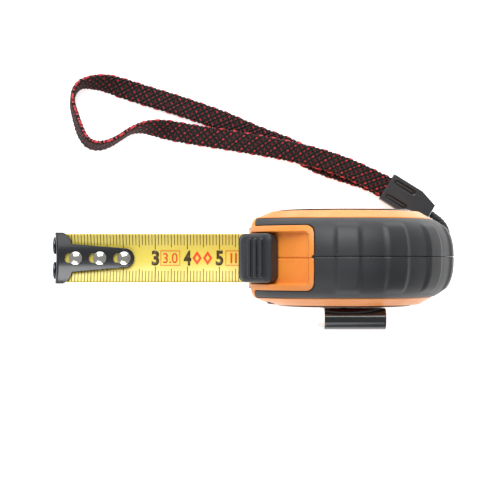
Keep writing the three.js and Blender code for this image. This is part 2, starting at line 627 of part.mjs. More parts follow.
function spindle() {
  const end = cavityHalfWidth - FIT;
  const bore = CLIP_SCREW_SHANK + FIT;
  const boreEnd = screwSeat + CLIP_SCREW_LENGTH + FIT;
  return turned([
    [bore, -end], [SPINDLE_HEAD, -end], [SPINDLE_HEAD, 0.8 - end], [SPINDLE_RADIUS, 0.8 - end],
    [SPINDLE_RADIUS, end - 0.8], [SPINDLE_HEAD, end - 0.8], [SPINDLE_HEAD, end], [0, end], [0, boreEnd],
    [bore, boreEnd], [bore, -end],
  ], 0, REEL_HEIGHT, 20);
}

// Labels, clip and screws

const labelInner = HALF_WIDTH + FIT;
const labelOuter = labelInner + LABEL_THICKNESS;
const clipInner = -(labelOuter + FIT);
const clipMiddle = clipInner - CLIP_STEEL - CLIP_GAP / 2;
const clipRadius = CLIP_GAP / 2 + CLIP_STEEL;
const screwSeat = clipInner - CLIP_STEEL - FIT;

function sideLabel(side) {
  const hole = side < 0 ? CLIP_SCREW_SHANK + FIT : 0;
  const [y0, y1] = side > 0 ? [labelInner, labelOuter] : [-labelOuter, -labelInner];
  const profile = [[hole, y0], [LABEL_RADIUS, y0], [LABEL_RADIUS, y1], [hole, y1]];
  return turned(hole ? [...profile, profile[0]] : profile, 0, REEL_HEIGHT, 40);
}

function beltClip() {
  const outer = clipMiddle - clipRadius;
  const shape = new THREE.Shape();
  shape.moveTo(clipInner, CLIP_INNER_FOOT);
  shape.absarc(clipMiddle, CLIP_BEND_HEIGHT, clipRadius, 0, Math.PI);
  shape.lineTo(outer, CLIP_OUTER_FOOT + 5);
  shape.lineTo(outer - CLIP_FLARE, CLIP_OUTER_FOOT);
  shape.lineTo(outer - CLIP_FLARE + CLIP_STEEL, CLIP_OUTER_FOOT);
  shape.lineTo(outer + CLIP_STEEL, CLIP_OUTER_FOOT + 5);
  shape.absarc(clipMiddle, CLIP_BEND_HEIGHT, clipRadius - CLIP_STEEL, Math.PI, 0, true);
  shape.lineTo(clipInner - CLIP_STEEL, CLIP_INNER_FOOT);
  const bent = lengthwise(shape, CLIP_FRONT, CLIP_BACK, 12);
  const screwHole = rod(CLIP_SCREW_SHANK + FIT, clipMiddle, 0, 0, REEL_HEIGHT);
  const access = rod(CLIP_ACCESS_HOLE, -FAR, clipMiddle, 0, REEL_HEIGHT, 20);
  return geometryOf(solid(bent).subtract(solid(screwHole)).subtract(solid(access)));
}

// A pan head screw whose head rests on a seat facing -Y
function screw(head, headHeight, shank, seat, tip, x, z) {
  return turned([
    [0, seat - headHeight], [head * 0.75, seat - headHeight], [head, seat - headHeight * 0.4], [head, seat],
    [shank, seat], [shank, tip - 1], [0, tip],
  ], x, z, 16);
}

// Wrist strap

function tube(section, points, steps) {
  const path = new THREE.CatmullRomCurve3(points.map(([x, y, z]) => new THREE.Vector3(x, y, z)));
  return new THREE.ExtrudeGeometry(section, { steps, bevelEnabled: false, extrudePath: path });
}

// A flat band swept along its route, rolling as the route says
function webbing() {
  const [w, t, edge] = [WEBBING_WIDTH / 2, WEBBING_THICKNESS / 2, 0.4];
  const section = polygon([
    [-w, edge - t], [edge - w, -t], [w - edge, -t], [w, edge - t], [w, t - edge], [w - edge, t],
    [edge - w, t], [-w, t - edge],
  ]);
  const band = new THREE.ExtrudeGeometry(section, { depth: 1, steps: 72, bevelEnabled: false });
  const rolls = WEBBING_POINTS.map((p) => THREE.MathUtils.degToRad(p[3]));
  const path = new THREE.CatmullRomCurve3(WEBBING_POINTS.map(([x, y, lift], i) => {
    const half = w * Math.abs(Math.sin(rolls[i])) + t * Math.abs(Math.cos(rolls[i]));
    return new THREE.Vector3(x, y, lift + half);
  }));
  const position = band.attributes.position;
  const up = new THREE.Vector3(0, 0, 1);
  for (let i = 0; i < position.count; i += 1) {
    const share = Math.min(position.getZ(i), 1);
    const along = path.getPointAt(share);
    const tangent = path.getTangentAt(share);
    const across = new THREE.Vector3().crossVectors(up, tangent).normalize();
    const normal = new THREE.Vector3().crossVectors(tangent, across);
    const place = path.getUtoTmapping(share) * (rolls.length - 1);
    const before = Math.min(Math.floor(place), rolls.length - 2);
    const roll = THREE.MathUtils.lerp(rolls[before], rolls[before + 1], place - before);
    const [a, b] = [position.getX(i), position.getY(i)];
    along.addScaledVector(across, a * Math.cos(roll) - b * Math.sin(roll));
    along.addScaledVector(normal, a * Math.sin(roll) + b * Math.cos(roll));
    position.setXYZ(i, along.x, along.y, along.z);
  }
  return band;
}

function thinCord() {
  const radius = CORD_DIAMETER / 2;
  const section = polygon(Array.from({ length: 8 }, (_, i) => {
    const angle = ((i + 0.5) * Math.PI) / 4;
    return [radius * Math.cos(angle), radius * Math.sin(angle)];
  }));
  return tube(section, CORD_POINTS, 20);
}

function connector() {
  const [half, tip, bevel] = [CONNECTOR_HALF_WIDTH, CONNECTOR_TIP, CONNECTOR_BEVEL];
  const plan = polygon([
    [0, -half], [CONNECTOR_STRAIGHT, -half], [CONNECTOR_LENGTH, -tip], [CONNECTOR_LENGTH, tip],
    [CONNECTOR_STRAIGHT, half], [0, half],
  ]);
  const body = new THREE.ExtrudeGeometry(plan, {
    depth: CONNECTOR_HEIGHT - 2 * bevel, bevelThickness: bevel, bevelSize: bevel, bevelOffset: -bevel,
    bevelSegments: 1,
  }).translate(0, 0, bevel);
  let piece = solid(body);
  for (const side of [-1, 1]) {
    const middle = side * GROOVE_SPREAD;
    const [y0, y1] = [middle - GROOVE_HALF_WIDTH, middle + GROOVE_HALF_WIDTH];
    const groove = box(GROOVE_FROM, GROOVE_TO, y0, y1, CONNECTOR_HEIGHT - GROOVE_DEPTH, FAR);
    piece = piece.subtract(solid(groove));
  }
  return geometryOf(piece);
}

// The assembly

const group = new THREE.Group();

function add(name, geometry, finish, parent = group) {
  const mesh = new THREE.Mesh(geometry, new THREE.MeshStandardMaterial(finish));
  mesh.name = name;
  parent.add(mesh);
  return mesh;
}

add('clip_side_shell', caseShell(-1), ORANGE);
add('strap_side_shell', caseShell(1), ORANGE);
add('clip_side_grip', rubberGrip(-1), RUBBER);
add('strap_side_grip', rubberGrip(1), RUBBER);
add('clip_side_label', sideLabel(-1), LABEL_PRINT);
add('strap_side_label', sideLabel(1), LABEL_PRINT);
add('mouth_bumper', mouthBumper(), RUBBER);
add('lock_button', lockButton(), BLACK_PLASTIC);
add('lock_slider', lockSlider(), BLACK_PLASTIC);
add('brake_leaf', brakeLeaf(), WHITE_PLASTIC);
add('reel_spindle', spindle(), BRIGHT_STEEL);
add('reel_drum', reelDrum(), WHITE_PLASTIC);
add('reel_cover', reelCover(), WHITE_PLASTIC);
const springInner = SPINDLE_HEAD + RUNNING;
const springOuter = DRUM_RADIUS - DRUM_WALL - RUNNING;
const spring = spiralBand(springInner, springOuter, SPRING_TURNS, SPRING_BAND, SPRING_HALF_WIDTH);
add('power_spring', spring, BRIGHT_STEEL);
const coil = spiralBand(DRUM_RADIUS + 2 * FIT, COIL_RADIUS, COIL_TURNS, COIL_BAND, REEL_HALF_WIDTH - FIT);
add('blade_coil', coil, YELLOW_BLADE);
add('blade_lead', bladeLead(), YELLOW_BLADE);
add('blade_strip', bladeStrip(), YELLOW_BLADE);
add('end_hook', endHook(), BLACK_STEEL);
rivetPlaces().forEach((x, i) => add(`hook_rivet_${i + 1}`, hookRivet(x), BRIGHT_STEEL));
[-1, 1].forEach((side, i) => add(`hook_magnet_${i + 1}`, hookMagnet(side), BRIGHT_STEEL));
add('belt_clip', beltClip(), BLACK_STEEL);
const clipScrewTip = screwSeat + CLIP_SCREW_LENGTH;
const clipScrewSize = [CLIP_SCREW_HEAD, CLIP_SCREW_HEAD_HEIGHT, CLIP_SCREW_SHANK];
add('clip_screw', screw(...clipScrewSize, screwSeat, clipScrewTip, 0, REEL_HEIGHT), BLACK_STEEL);
CASE_SCREWS.forEach(([x, z], i) => {
  const seat = CASE_SCREW_RECESS - HALF_WIDTH - FIT;
  const size = [CASE_SCREW_HEAD, CASE_SCREW_HEAD_HEIGHT, CASE_SCREW_SHANK];
  const shape = screw(...size, seat, CASE_SCREW_REACH, x, REEL_HEIGHT + z);
  add(`case_screw_${i + 1}`, shape, BLACK_STEEL);
});
add('strap_webbing', webbing(), STRAP_YARN);
add('strap_cord', thinCord(), STRAP_YARN);
const crimp = new THREE.Group();
crimp.position.set(CONNECTOR_START[0], CONNECTOR_START[1], 0);
crimp.rotation.z = CONNECTOR_TURN;
group.add(crimp);
add('strap_connector', connector(), BLACK_PLASTIC, crimp);

export default group;
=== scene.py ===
"""A three metre pocket tape measure in an orange case with a black rubber jacket and a wrist strap."""
import logging
import math
from dataclasses import dataclass, field
from enum import Enum
from typing import Callable, Iterable, Sequence

import bmesh
import bpy
import numpy as np
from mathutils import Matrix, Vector


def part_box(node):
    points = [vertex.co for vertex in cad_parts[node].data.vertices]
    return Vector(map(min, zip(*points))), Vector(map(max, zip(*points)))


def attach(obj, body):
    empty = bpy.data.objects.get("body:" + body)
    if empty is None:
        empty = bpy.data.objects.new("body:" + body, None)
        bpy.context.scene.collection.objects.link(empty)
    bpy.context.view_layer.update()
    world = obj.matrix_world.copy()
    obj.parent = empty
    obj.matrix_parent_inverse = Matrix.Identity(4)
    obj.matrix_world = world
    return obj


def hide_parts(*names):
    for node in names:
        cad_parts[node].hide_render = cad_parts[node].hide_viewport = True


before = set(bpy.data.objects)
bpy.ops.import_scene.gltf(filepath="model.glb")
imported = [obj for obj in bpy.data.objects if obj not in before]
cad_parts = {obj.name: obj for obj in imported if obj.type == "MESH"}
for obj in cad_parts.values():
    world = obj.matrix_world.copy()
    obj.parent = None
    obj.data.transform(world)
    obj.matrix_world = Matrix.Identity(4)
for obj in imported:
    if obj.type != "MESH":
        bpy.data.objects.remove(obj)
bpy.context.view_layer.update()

LOG = logging.getLogger("tape_measure")
MM = 0.001
Point = Sequence[float]


# ---------------------------------------------------------------- finishes


def linear(hex_colour: str) -> tuple[float, float, float, float]:
    """Turns an sRGB hex colour into linear red, green, blue and an alpha of 1.

    Args:
        hex_colour: six hex digits.

    Returns:
        The four linear values.
    """
    parts = [int(hex_colour[i:i + 2], 16) / 255 for i in (0, 2, 4)]
    lit = [c / 12.92 if c <= 0.04045 else ((c + 0.055) / 1.055) ** 2.4 for c in parts]
    return (lit[0], lit[1], lit[2], 1.0)


def add_node(tree: bpy.types.NodeTree, kind: str, inputs: dict | None = None, **settings) -> bpy.types.Node:
    """Adds a node with its settings, its values and its links.

    Args:
        tree: the shader or geometry tree.
        kind: the node's type name.
        inputs: value or source socket by input name or number.
        **settings: the node's own properties.

    Returns:
        The new node.
    """
    node = tree.nodes.new(kind)
    for key, value in settings.items():
        setattr(node, key, value)
    for key, value in (inputs or {}).items():
        if isinstance(value, bpy.types.NodeSocket):
            tree.links.new(value, node.inputs[key])
        else:
            node.inputs[key].default_value = value
    return node


class Surface(Enum):
    """How a finish was made, which chooses its fine pattern."""

    MOULDED = "moulded"
    BRUSHED = "brushed"
    PAINTED = "painted"
    WOVEN = "woven"
    PRINTED_DISC = "printed disc"


@dataclass(frozen=True)
class Finish:
    """One real material: what it is, its colours and how rough and grainy it is."""

    name: str
    colour: str
    second: str
    surface: Surface = Surface.MOULDED
    roughness: float = 0.45
    spread: float = 0.08
    metallic: float = 0.0
    ior: float = 1.5
    coat: float = 0.0
    sheen: float = 0.0
    grain_mm: float = 0.35
    relief_mm: float = 0.012
    patch_mm: float = 9.0
    subsurface_mm: float = 0.0
    glow: float = 0.0
    repeat_mm: float = 2.05
    stitch_mm: float = 0.8
    edge_mm: float = 3.34

    def material(self) -> bpy.types.Material:
        """Makes the material, once.

        Returns:
            The material under this finish's name.
        """
        found = bpy.data.materials.get(self.name)
        if found:
            return found
        made = bpy.data.materials.new(self.name)
        made.use_nodes = True
        tree = made.node_tree
        tree.nodes.clear()
        place = add_node(tree, "ShaderNodeTexCoord")
        colour, height = self.pattern(tree, place)
        worn = self.patches(tree, place)
        rough = add_node(tree, "ShaderNodeMapRange", {
            "Value": worn, "From Min": 0.3, "From Max": 0.7,
            "To Min": max(self.roughness - self.spread, 0.03), "To Max": self.roughness + self.spread})
        bump = add_node(tree, "ShaderNodeBump", {
            "Height": height, "Strength": 0.8, "Distance": self.relief_mm * MM})
        shader = add_node(tree, "ShaderNodeBsdfPrincipled", {
            "Base Color": colour, "Roughness": rough.outputs[0], "Normal": bump.outputs[0],
            "Metallic": self.metallic})
        if not self.metallic:
            shader.inputs["IOR"].default_value = self.ior
        shader.inputs["Coat Weight"].default_value = self.coat
        shader.inputs["Coat Roughness"].default_value = 0.12
        shader.inputs["Sheen Weight"].default_value = self.sheen
        shader.inputs["Sheen Roughness"].default_value = 0.5
        if self.glow:
            shader.inputs["Emission Color"].default_value = (1, 1, 1, 1)
            shader.inputs["Emission Strength"].default_value = self.glow
        if self.subsurface_mm:
            shader.inputs["Subsurface Weight"].default_value = 0.15
            shader.inputs["Subsurface Radius"].default_value = (1.0, 0.5, 0.25)
            shader.inputs["Subsurface Scale"].default_value = self.subsurface_mm * MM
        add_node(tree, "ShaderNodeOutputMaterial", {"Surface": shader.outputs[0]})
        return made

    def patches(self, tree: bpy.types.NodeTree, place: bpy.types.Node) -> bpy.types.NodeSocket:
        """Soft patches as large as handling marks.

        Args:
            tree: the shader tree.
            place: the texture coordinate node.

        Returns:
            A value between 0 and 1.
        """
        noise = add_node(tree, "ShaderNodeTexNoise", {
            "Vector": place.outputs["Object"], "Scale": 1 / (self.patch_mm * MM), "Detail": 4.0})
        return noise.outputs["Fac"]

    def pattern(self, tree: bpy.types.NodeTree, place: bpy.types.Node) -> tuple:
        """The colour and the fine relief that this surface's making gives.

        Args:
            tree: the shader tree.
            place: the texture coordinate node.

        Returns:
            The colour socket and the height socket.
        """
        if self.surface is Surface.WOVEN:
            return self.braid(tree, place)
        stretch = (0.08, 1.0, 1.0) if self.surface is Surface.BRUSHED else (1.0, 1.0, 1.0)
        spread = add_node(tree, "ShaderNodeMapping", {"Vector": place.outputs["Object"], "Scale": stretch})
        grain = add_node(tree, "ShaderNodeTexNoise", {
            "Vector": spread.outputs[0], "Scale": 1 / (self.grain_mm * MM), "Detail": 3.0})
        share = add_node(tree, "ShaderNodeMapRange", {
            "Value": self.patches(tree, place), "From Min": 0.35, "From Max": 0.7})
        mixed = add_node(tree, "ShaderNodeMix", data_type="RGBA")
        tree.links.new(share.outputs[0], mixed.inputs["Factor"])
        mixed.inputs["A"].default_value = linear(self.colour)
        mixed.inputs["B"].default_value = linear(self.second)
        colour = mixed.outputs["Result"]
        if self.surface is Surface.PRINTED_DISC:
            colour = self.disc_print(tree, place, colour)
        return colour, grain.outputs["Fac"]

    def disc_print(self, tree: bpy.types.NodeTree, place: bpy.types.Node,
                   ground: bpy.types.NodeSocket) -> bpy.types.NodeSocket:
        """A dark rim, a red upper field and a thin ring printed on a round label.

        Args:
            tree: the shader tree.
            place: the texture coordinate node.
            ground: the paper colour.

        Returns:
            The printed colour.
        """
        centre = add_node(tree, "ShaderNodeMapping", {
            "Vector": place.outputs["Object"], "Location": (0, 0, -30 * MM), "Scale": (1, 0, 1)})
        radius = add_node(tree, "ShaderNodeVectorMath", {0: centre.outputs[0]}, operation="LENGTH")
        height = add_node(tree, "ShaderNodeSeparateXYZ", {0: centre.outputs[0]})
        result = ground
        bands = [
            ("b3301f", height.outputs["Z"], 4.0), ("e9e4d8", radius.outputs["Value"], 17.6),
            ("262424", radius.outputs["Value"], 18.6),
        ]
        soft = 0.05
        for colour, value, edge in bands:
            mask = add_node(tree, "ShaderNodeMapRange", {
                "Value": value, "From Min": (edge - soft) * MM, "From Max": (edge + soft) * MM})
            mix = add_node(tree, "ShaderNodeMix", data_type="RGBA")
            tree.links.new(mask.outputs[0], mix.inputs["Factor"])
            tree.links.new(result, mix.inputs["A"])
            mix.inputs["B"].default_value = linear(colour)
            result = mix.outputs["Result"]
        return result

    def braid(self, tree: bpy.types.NodeTree, place: bpy.types.Node) -> tuple:
        """Black yarn with red yarn showing as dots in a diamond grid, from a UV map in millimetres, with
        painted shade in the knuckles' dips and painted highlights along the edge line.

        Args:
            tree: the shader tree.
            place: the texture coordinate node.

        Returns:
            The colour socket and the height socket.
        """
        uv = place.outputs["UV"]
        cells = add_node(tree, "ShaderNodeVectorMath", {
            0: uv, 1: (1 / self.repeat_mm, 1 / self.repeat_mm, 0)}, operation="MULTIPLY")
        parts = add_node(tree, "ShaderNodeSeparateXYZ", {0: cells.outputs[0]})
        rising = add_node(tree, "ShaderNodeMath", {0: parts.outputs[0], 1: parts.outputs[1]}, operation="ADD")
        falling = add_node(tree, "ShaderNodeMath", {
            0: parts.outputs[0], 1: parts.outputs[1]}, operation="SUBTRACT")
        lattice = add_node(tree, "ShaderNodeCombineXYZ", {0: rising.outputs[0], 1: falling.outputs[0]})
        # a dim dot at every crossing, and a bright one at every second crossing both ways
        layers = []
        for share, most in ((1.0, 0.4), (0.5, 1.0)):
            scaled = add_node(tree, "ShaderNodeVectorMath", {
                0: lattice.outputs[0], 1: (share, share, 0)}, operation="MULTIPLY")
            inside = add_node(tree, "ShaderNodeVectorMath", {0: scaled.outputs[0]}, operation="FRACTION")
            middle = add_node(tree, "ShaderNodeVectorMath", {
                0: inside.outputs[0], 1: (share / 2, share / 2, 0)}, operation="SUBTRACT")
            away = add_node(tree, "ShaderNodeVectorMath", {0: middle.outputs[0]}, operation="LENGTH")
            layers.append(add_node(tree, "ShaderNodeMapRange", {
                "Value": away.outputs["Value"], "From Min": 0.13 * share, "From Max": 0.3 * share,
                "To Min": most, "To Max": 0.0}))
        uneven = add_node(tree, "ShaderNodeTexNoise", {"Vector": uv, "Scale": 0.8, "Detail": 2.0})
        strength = add_node(tree, "ShaderNodeMapRange", {
            "Value": uneven.outputs["Fac"], "From Min": 0.35, "From Max": 0.65, "To Min": 0.45,
            "To Max": 1.0})
        both = add_node(tree, "ShaderNodeMath", {0: layers[0].outputs[0], 1: layers[1].outputs[0]},
                        operation="MAXIMUM")
        dots = add_node(tree, "ShaderNodeMath", {0: both.outputs[0], 1: strength.outputs[0]},
                        operation="MULTIPLY")
        along = add_node(tree, "ShaderNodeSeparateXYZ", {0: uv})
        beat = add_node(tree, "ShaderNodeMath", {0: along.outputs[0], 1: 2 * math.pi / self.stitch_mm},
                        operation="MULTIPLY")
        wave = add_node(tree, "ShaderNodeMath", {0: beat.outputs[0]}, operation="SINE")
        # the stitches' own pattern, drawn as painted highlight: the red edge line is full red on each stitch
        # and dimmer between them
        stitch_and_highlight = add_node(tree, "ShaderNodeMapRange", {
            "Value": wave.outputs[0], "From Min": -0.8, "From Max": 0.4, "To Min": 0.45, "To Max": 1.0})
        side = add_node(tree, "ShaderNodeMath", {0: along.outputs[1]}, operation="ABSOLUTE")
        edge = add_node(tree, "ShaderNodeMath", {0: side.outputs[0], 1: self.edge_mm},
                        operation="GREATER_THAN")
        line = add_node(tree, "ShaderNodeMath", {0: stitch_and_highlight.outputs[0], 1: edge.outputs[0]},
                        operation="MULTIPLY")
        off_edge = add_node(tree, "ShaderNodeMath", {0: 1.0, 1: edge.outputs[0]}, operation="SUBTRACT")
        face = add_node(tree, "ShaderNodeMath", {0: dots.outputs[0], 1: off_edge.outputs[0]},
                        operation="MULTIPLY")
        red = add_node(tree, "ShaderNodeMath", {0: face.outputs[0], 1: line.outputs[0]}, operation="MAXIMUM")
        fibre = add_node(tree, "ShaderNodeTexNoise", {
            "Vector": uv, "Scale": 1 / self.grain_mm, "Detail": 3.0})
        # the knuckles, three to every two crossings: their height drives the bump, and painted shade turns
        # the dips between them near black
        arcs = []
        for slant in (rising, falling):
            turn = add_node(tree, "ShaderNodeMath", {0: slant.outputs[0], 1: 1.5 * math.pi},
                            operation="MULTIPLY")
            arcs.append(add_node(tree, "ShaderNodeMath", {0: turn.outputs[0]}, operation="SINE"))
        knot = add_node(tree, "ShaderNodeMath", {0: arcs[0].outputs[0], 1: arcs[1].outputs[0]},
                        operation="MULTIPLY")
        bulge = add_node(tree, "ShaderNodeMath", {0: knot.outputs[0]}, operation="ABSOLUTE")
        lit = add_node(tree, "ShaderNodeMapRange", {
            "Value": bulge.outputs[0], "From Min": 0.1, "From Max": 0.9})
        # painted shade: near black in the dips between knuckles, the yarn's own black only on their tops
        black = add_node(tree, "ShaderNodeMix", data_type="RGBA")
        tree.links.new(lit.outputs[0], black.inputs["Factor"])
        black.inputs["A"].default_value = (0.0006, 0.0006, 0.0007, 1)
        black.inputs["B"].default_value = linear(self.colour)
        mixed = add_node(tree, "ShaderNodeMix", data_type="RGBA")
        tree.links.new(red.outputs[0], mixed.inputs["Factor"])
        tree.links.new(black.outputs["Result"], mixed.inputs["A"])
        mixed.inputs["B"].default_value = linear(self.second)
        # painted highlight: pale pink mixed over the bright dashes of the edge line
        shine = add_node(tree, "ShaderNodeMix", data_type="RGBA")
        pale = add_node(tree, "ShaderNodeMath", {0: line.outputs[0], 1: 0.5}, operation="MULTIPLY")
        tree.links.new(pale.outputs[0], shine.inputs["Factor"])
        tree.links.new(mixed.outputs["Result"], shine.inputs["A"])
        shine.inputs["B"].default_value = linear("f0707a")
        height = add_node(tree, "ShaderNodeMath", {0: bulge.outputs[0], 1: fibre.outputs["Fac"]},
                          operation="ADD")
        return shine.outputs["Result"], height.outputs[0]


# Moulded ABS: an even, slightly translucent orange with a satin shine
ORANGE_ABS = Finish("moulded_orange_abs", "e48c38", "e0822e", roughness=0.36, ior=1.53, subsurface_mm=0.8)
# Thermoplastic rubber: charcoal, matt, finely eroded mould texture that greys where it catches light
RUBBER = Finish("moulded_black_rubber", "1f2024", "292a2e", roughness=0.55, spread=0.07, ior=1.51,
                grain_mm=0.45, relief_mm=0.03, patch_mm=14)
# Satin nylon: near black with a soft sheen on edges
SATIN_NYLON = Finish("moulded_black_nylon", "26282c", "1f2226", roughness=0.42, ior=1.53, grain_mm=0.3)
# Acetal: milky white, waxy
ACETAL = Finish("moulded_white_acetal", "e3e0d6", "d8d4c8", roughness=0.4, ior=1.48, subsurface_mm=1.0)
# Black enamelled spring steel: smooth, wet looking
GLOSS_ENAMEL = Finish("black_enamelled_steel", "15171a", "1b1d21", Surface.PAINTED, 0.16, 0.04, ior=1.5,
                      coat=0.6, grain_mm=1.6, relief_mm=0.006)
# Black oxide steel: dark blue grey metal under a thin oil shine
BLACK_OXIDE = Finish("black_oxide_steel", "1a1d22", "13161b", Surface.PAINTED, 0.28, 0.06, coat=0.25,
                     grain_mm=0.6, relief_mm=0.01)
# Nickel plate: bright mirror with faint polishing waves
NICKEL = Finish("nickel_plated_steel", "dcdbd6", "cfcdc6", Surface.PAINTED, 0.12, 0.04, metallic=1.0,
                grain_mm=1.2, relief_mm=0.02)
# Rolled spring steel: grey with lengthwise rolling lines
SPRING_STEEL = Finish("rolled_spring_steel", "9a9da1", "85888d", Surface.BRUSHED, 0.3, 0.08, metallic=1.0,
                      grain_mm=0.15, relief_mm=0.01)
# Nylon coated blade enamel: clear yellow with a smooth gloss
BLADE_ENAMEL = Finish("yellow_blade_enamel", "dccb58", "d6c24c", Surface.PAINTED, 0.38, 0.06, ior=1.5,
                      coat=0.1, grain_mm=2.5, relief_mm=0.012)
# Printing inks: flat, sharp edged
BROWN_INK = Finish("dark_brown_ink", "4a3a1c", "3e3016", Surface.PAINTED, 0.4, 0.05, grain_mm=0.2)
RED_INK = Finish("red_ink", "dd4b26", "d6421f", Surface.PAINTED, 0.4, 0.05, grain_mm=0.2)
# Laminated paper label: pale face, red field and dark rim under a clear film
LABEL_PAPER = Finish("laminated_label", "dcd6c8", "d4cebf", Surface.PRINTED_DISC, 0.3, 0.05, coat=0.5,
                     grain_mm=0.8, relief_mm=0.004)
# Polyester braid: dull black filaments with red ones showing between
BRAID = Finish("woven_polyester_braid", "0f0f10", "cf2730", Surface.WOVEN, 0.55, 0.1, ior=1.36,
               grain_mm=0.18, relief_mm=0.16)
RED_YARN = Finish("red_polyester_yarn", "d62a33", "c41f2a", roughness=0.6, sheen=0.3, grain_mm=0.2,
                  relief_mm=0.03)
BLACK_CORD = Finish("black_polyester_cord", "1a1a1c", "121214", roughness=0.65, sheen=0.3, grain_mm=0.15,
                    relief_mm=0.04)
# Neodymium magnet under nickel: dark bright discs
MAGNET = Finish("plated_magnet", "55585e", "45484e", Surface.PAINTED, 0.25, 0.05, metallic=1.0)
# Seamless card: an even, pale ground
CARD = Finish("white_card", "fbfbfa", "f8f8f7", roughness=0.8, grain_mm=0.9, relief_mm=0.01, patch_mm=90,
              glow=0.68)


# ---------------------------------------------------------------- shapes


def bake(piece: bpy.types.Object) -> bpy.types.Object:
    """Turns a piece and its modifiers into one plain mesh.

    Args:
        piece: the object to convert.

    Returns:
        The same object, with no modifiers.
    """
    bpy.context.view_layer.update()
    seen = piece.evaluated_get(bpy.context.evaluated_depsgraph_get())
    mesh = bpy.data.meshes.new_from_object(seen)
    piece.modifiers.clear()
    piece.data = mesh
    mesh.name = piece.name
    return piece


def piece_from(name: str, points: Iterable[Point], faces: Sequence[Sequence[int]]) -> bpy.types.Object:
    """A closed mesh object from points in millimetres, with its faces turned outwards.

    Args:
        name: the piece's name.
        points: its corners.
        faces: its faces, as lists of corner numbers.

    Returns:
        The object, linked to the scene.
    """
    mesh = bpy.data.meshes.new(name)
    mesh.from_pydata((np.asarray(list(points), float) * MM).tolist(), [], faces)
    form = bmesh.new()
    form.from_mesh(mesh)
    bmesh.ops.remove_doubles(form, verts=form.verts, dist=1e-7)
    bmesh.ops.recalc_face_normals(form, faces=form.faces)
    form.to_mesh(mesh)
    form.free()
    mesh.shade_smooth()
    piece = bpy.data.objects.new(name, mesh)
    bpy.context.scene.collection.objects.link(piece)
    return piece


def loft(name: str, rings: np.ndarray, closed: bool = False) -> bpy.types.Object:
    """A solid skinned over rings of equal point counts.

    Args:
        name: the piece's name.
        rings: an array of rings, points and coordinates, in millimetres.
        closed: joins the last ring to the first, and else caps both ends.

    Returns:
        The object.
    """
    count, size = rings.shape[0], rings.shape[1]
    faces = []
    for i in range(count if closed else count - 1):
        here, there = i * size, ((i + 1) % count) * size
        faces += [[here + j, here + (j + 1) % size, there + (j + 1) % size, there + j] for j in range(size)]
    if not closed:
        faces.append(list(range(size))[::-1])
        faces.append([(count - 1) * size + j for j in range(size)])
    return piece_from(name, rings.reshape(-1, 3), faces)


def prism(name: str, outline: Sequence[Point], place: Callable[[float, float, float], Point], low: float,
          high: float, steps: int = 1) -> bpy.types.Object:
    """An outline extruded between two levels.

    Args:
        name: the piece's name.
        outline: points of two numbers.
        place: turns the two numbers and a level into a point in millimetres.
        low: the first level.
        high: the last level.
        steps: how many slices.

    Returns:
        The object.
    """
    levels = np.linspace(low, high, steps + 1)
    return loft(name, np.array([[place(a, b, level) for a, b in outline] for level in levels]))


def side_on(x: float, z: float, y: float) -> Point:
    """Places an outline drawn in X and Z."""
    return (x, y, z)


def plan(x: float, y: float, z: float) -> Point:
    """Places an outline drawn in X and Y."""
    return (x, y, z)


def end_on(y: float, z: float, x: float) -> Point:
    """Places an outline drawn in Y and Z."""
    return (x, y, z)


def arc(cx: float, cy: float, radius: float, start: float, end: float, steps: int = 8) -> list[Point]:
    """Points on a circle's arc.

    Args:
        cx: the centre's first number.
        cy: the centre's second number.
        radius: the arc's radius.
        start: the first angle in degrees.
        end: the last angle in degrees.
        steps: how many stretches.

    Returns:
        The points.
    """
    turns = np.radians(np.linspace(start, end, steps + 1))
    return [(cx + radius * math.cos(t), cy + radius * math.sin(t)) for t in turns]


def rounded(x0: float, x1: float, y0: float, y1: float, radius: float) -> list[Point]:
    """A rectangle with round corners.

    Args:
        x0: its lowest first number.
        x1: its highest first number.
        y0: its lowest second number.
        y1: its highest second number.
        radius: the corners' radius.

    Returns:
        The outline's points.
    """
    return (arc(x1 - radius, y1 - radius, radius, 0, 90) + arc(x0 + radius, y1 - radius, radius, 90, 180)
            + arc(x0 + radius, y0 + radius, radius, 180, 270)
            + arc(x1 - radius, y0 + radius, radius, 270, 360))


def turned(name: str, profile: Sequence[Point], centre: Point, axis: str = "y",
           steps: int = 64) -> bpy.types.Object:
    """A round piece about a line along one axis.

    Args:
        name: the piece's name.
        profile: radius and level pairs, from one end to the other.
        centre: the point that the line runs through.
        axis: "x", "y" or "z".
        steps: how many sides.

    Returns:
        The object.
    """
    rings = []
    for turn in np.linspace(0, 2 * math.pi, steps, endpoint=False):
        spots = []
        for radius, level in profile:
            a, b = radius * math.cos(turn), radius * math.sin(turn)
            spot = {"x": (level, a, b), "y": (b, level, a), "z": (a, b, level)}[axis]
            spots.append([spot[k] + centre[k] for k in range(3)])
        rings.append(spots)
    return loft(name, np.array(rings), closed=True)


def combine(piece: bpy.types.Object, tool: bpy.types.Object,
            operation: str = "DIFFERENCE") -> bpy.types.Object:
    """Cuts a piece with a tool, joins them, or keeps what they share, and removes the tool.

    Args:
        piece: the object that is changed.
        tool: the cutter.
        operation: DIFFERENCE, UNION or INTERSECT.

    Returns:
        The changed object.
    """
    step = piece.modifiers.new("combine", "BOOLEAN")
    step.operation = operation
    step.object = tool
    step.solver = "MANIFOLD"
    bake(piece)
    bpy.data.objects.remove(tool)
    return piece


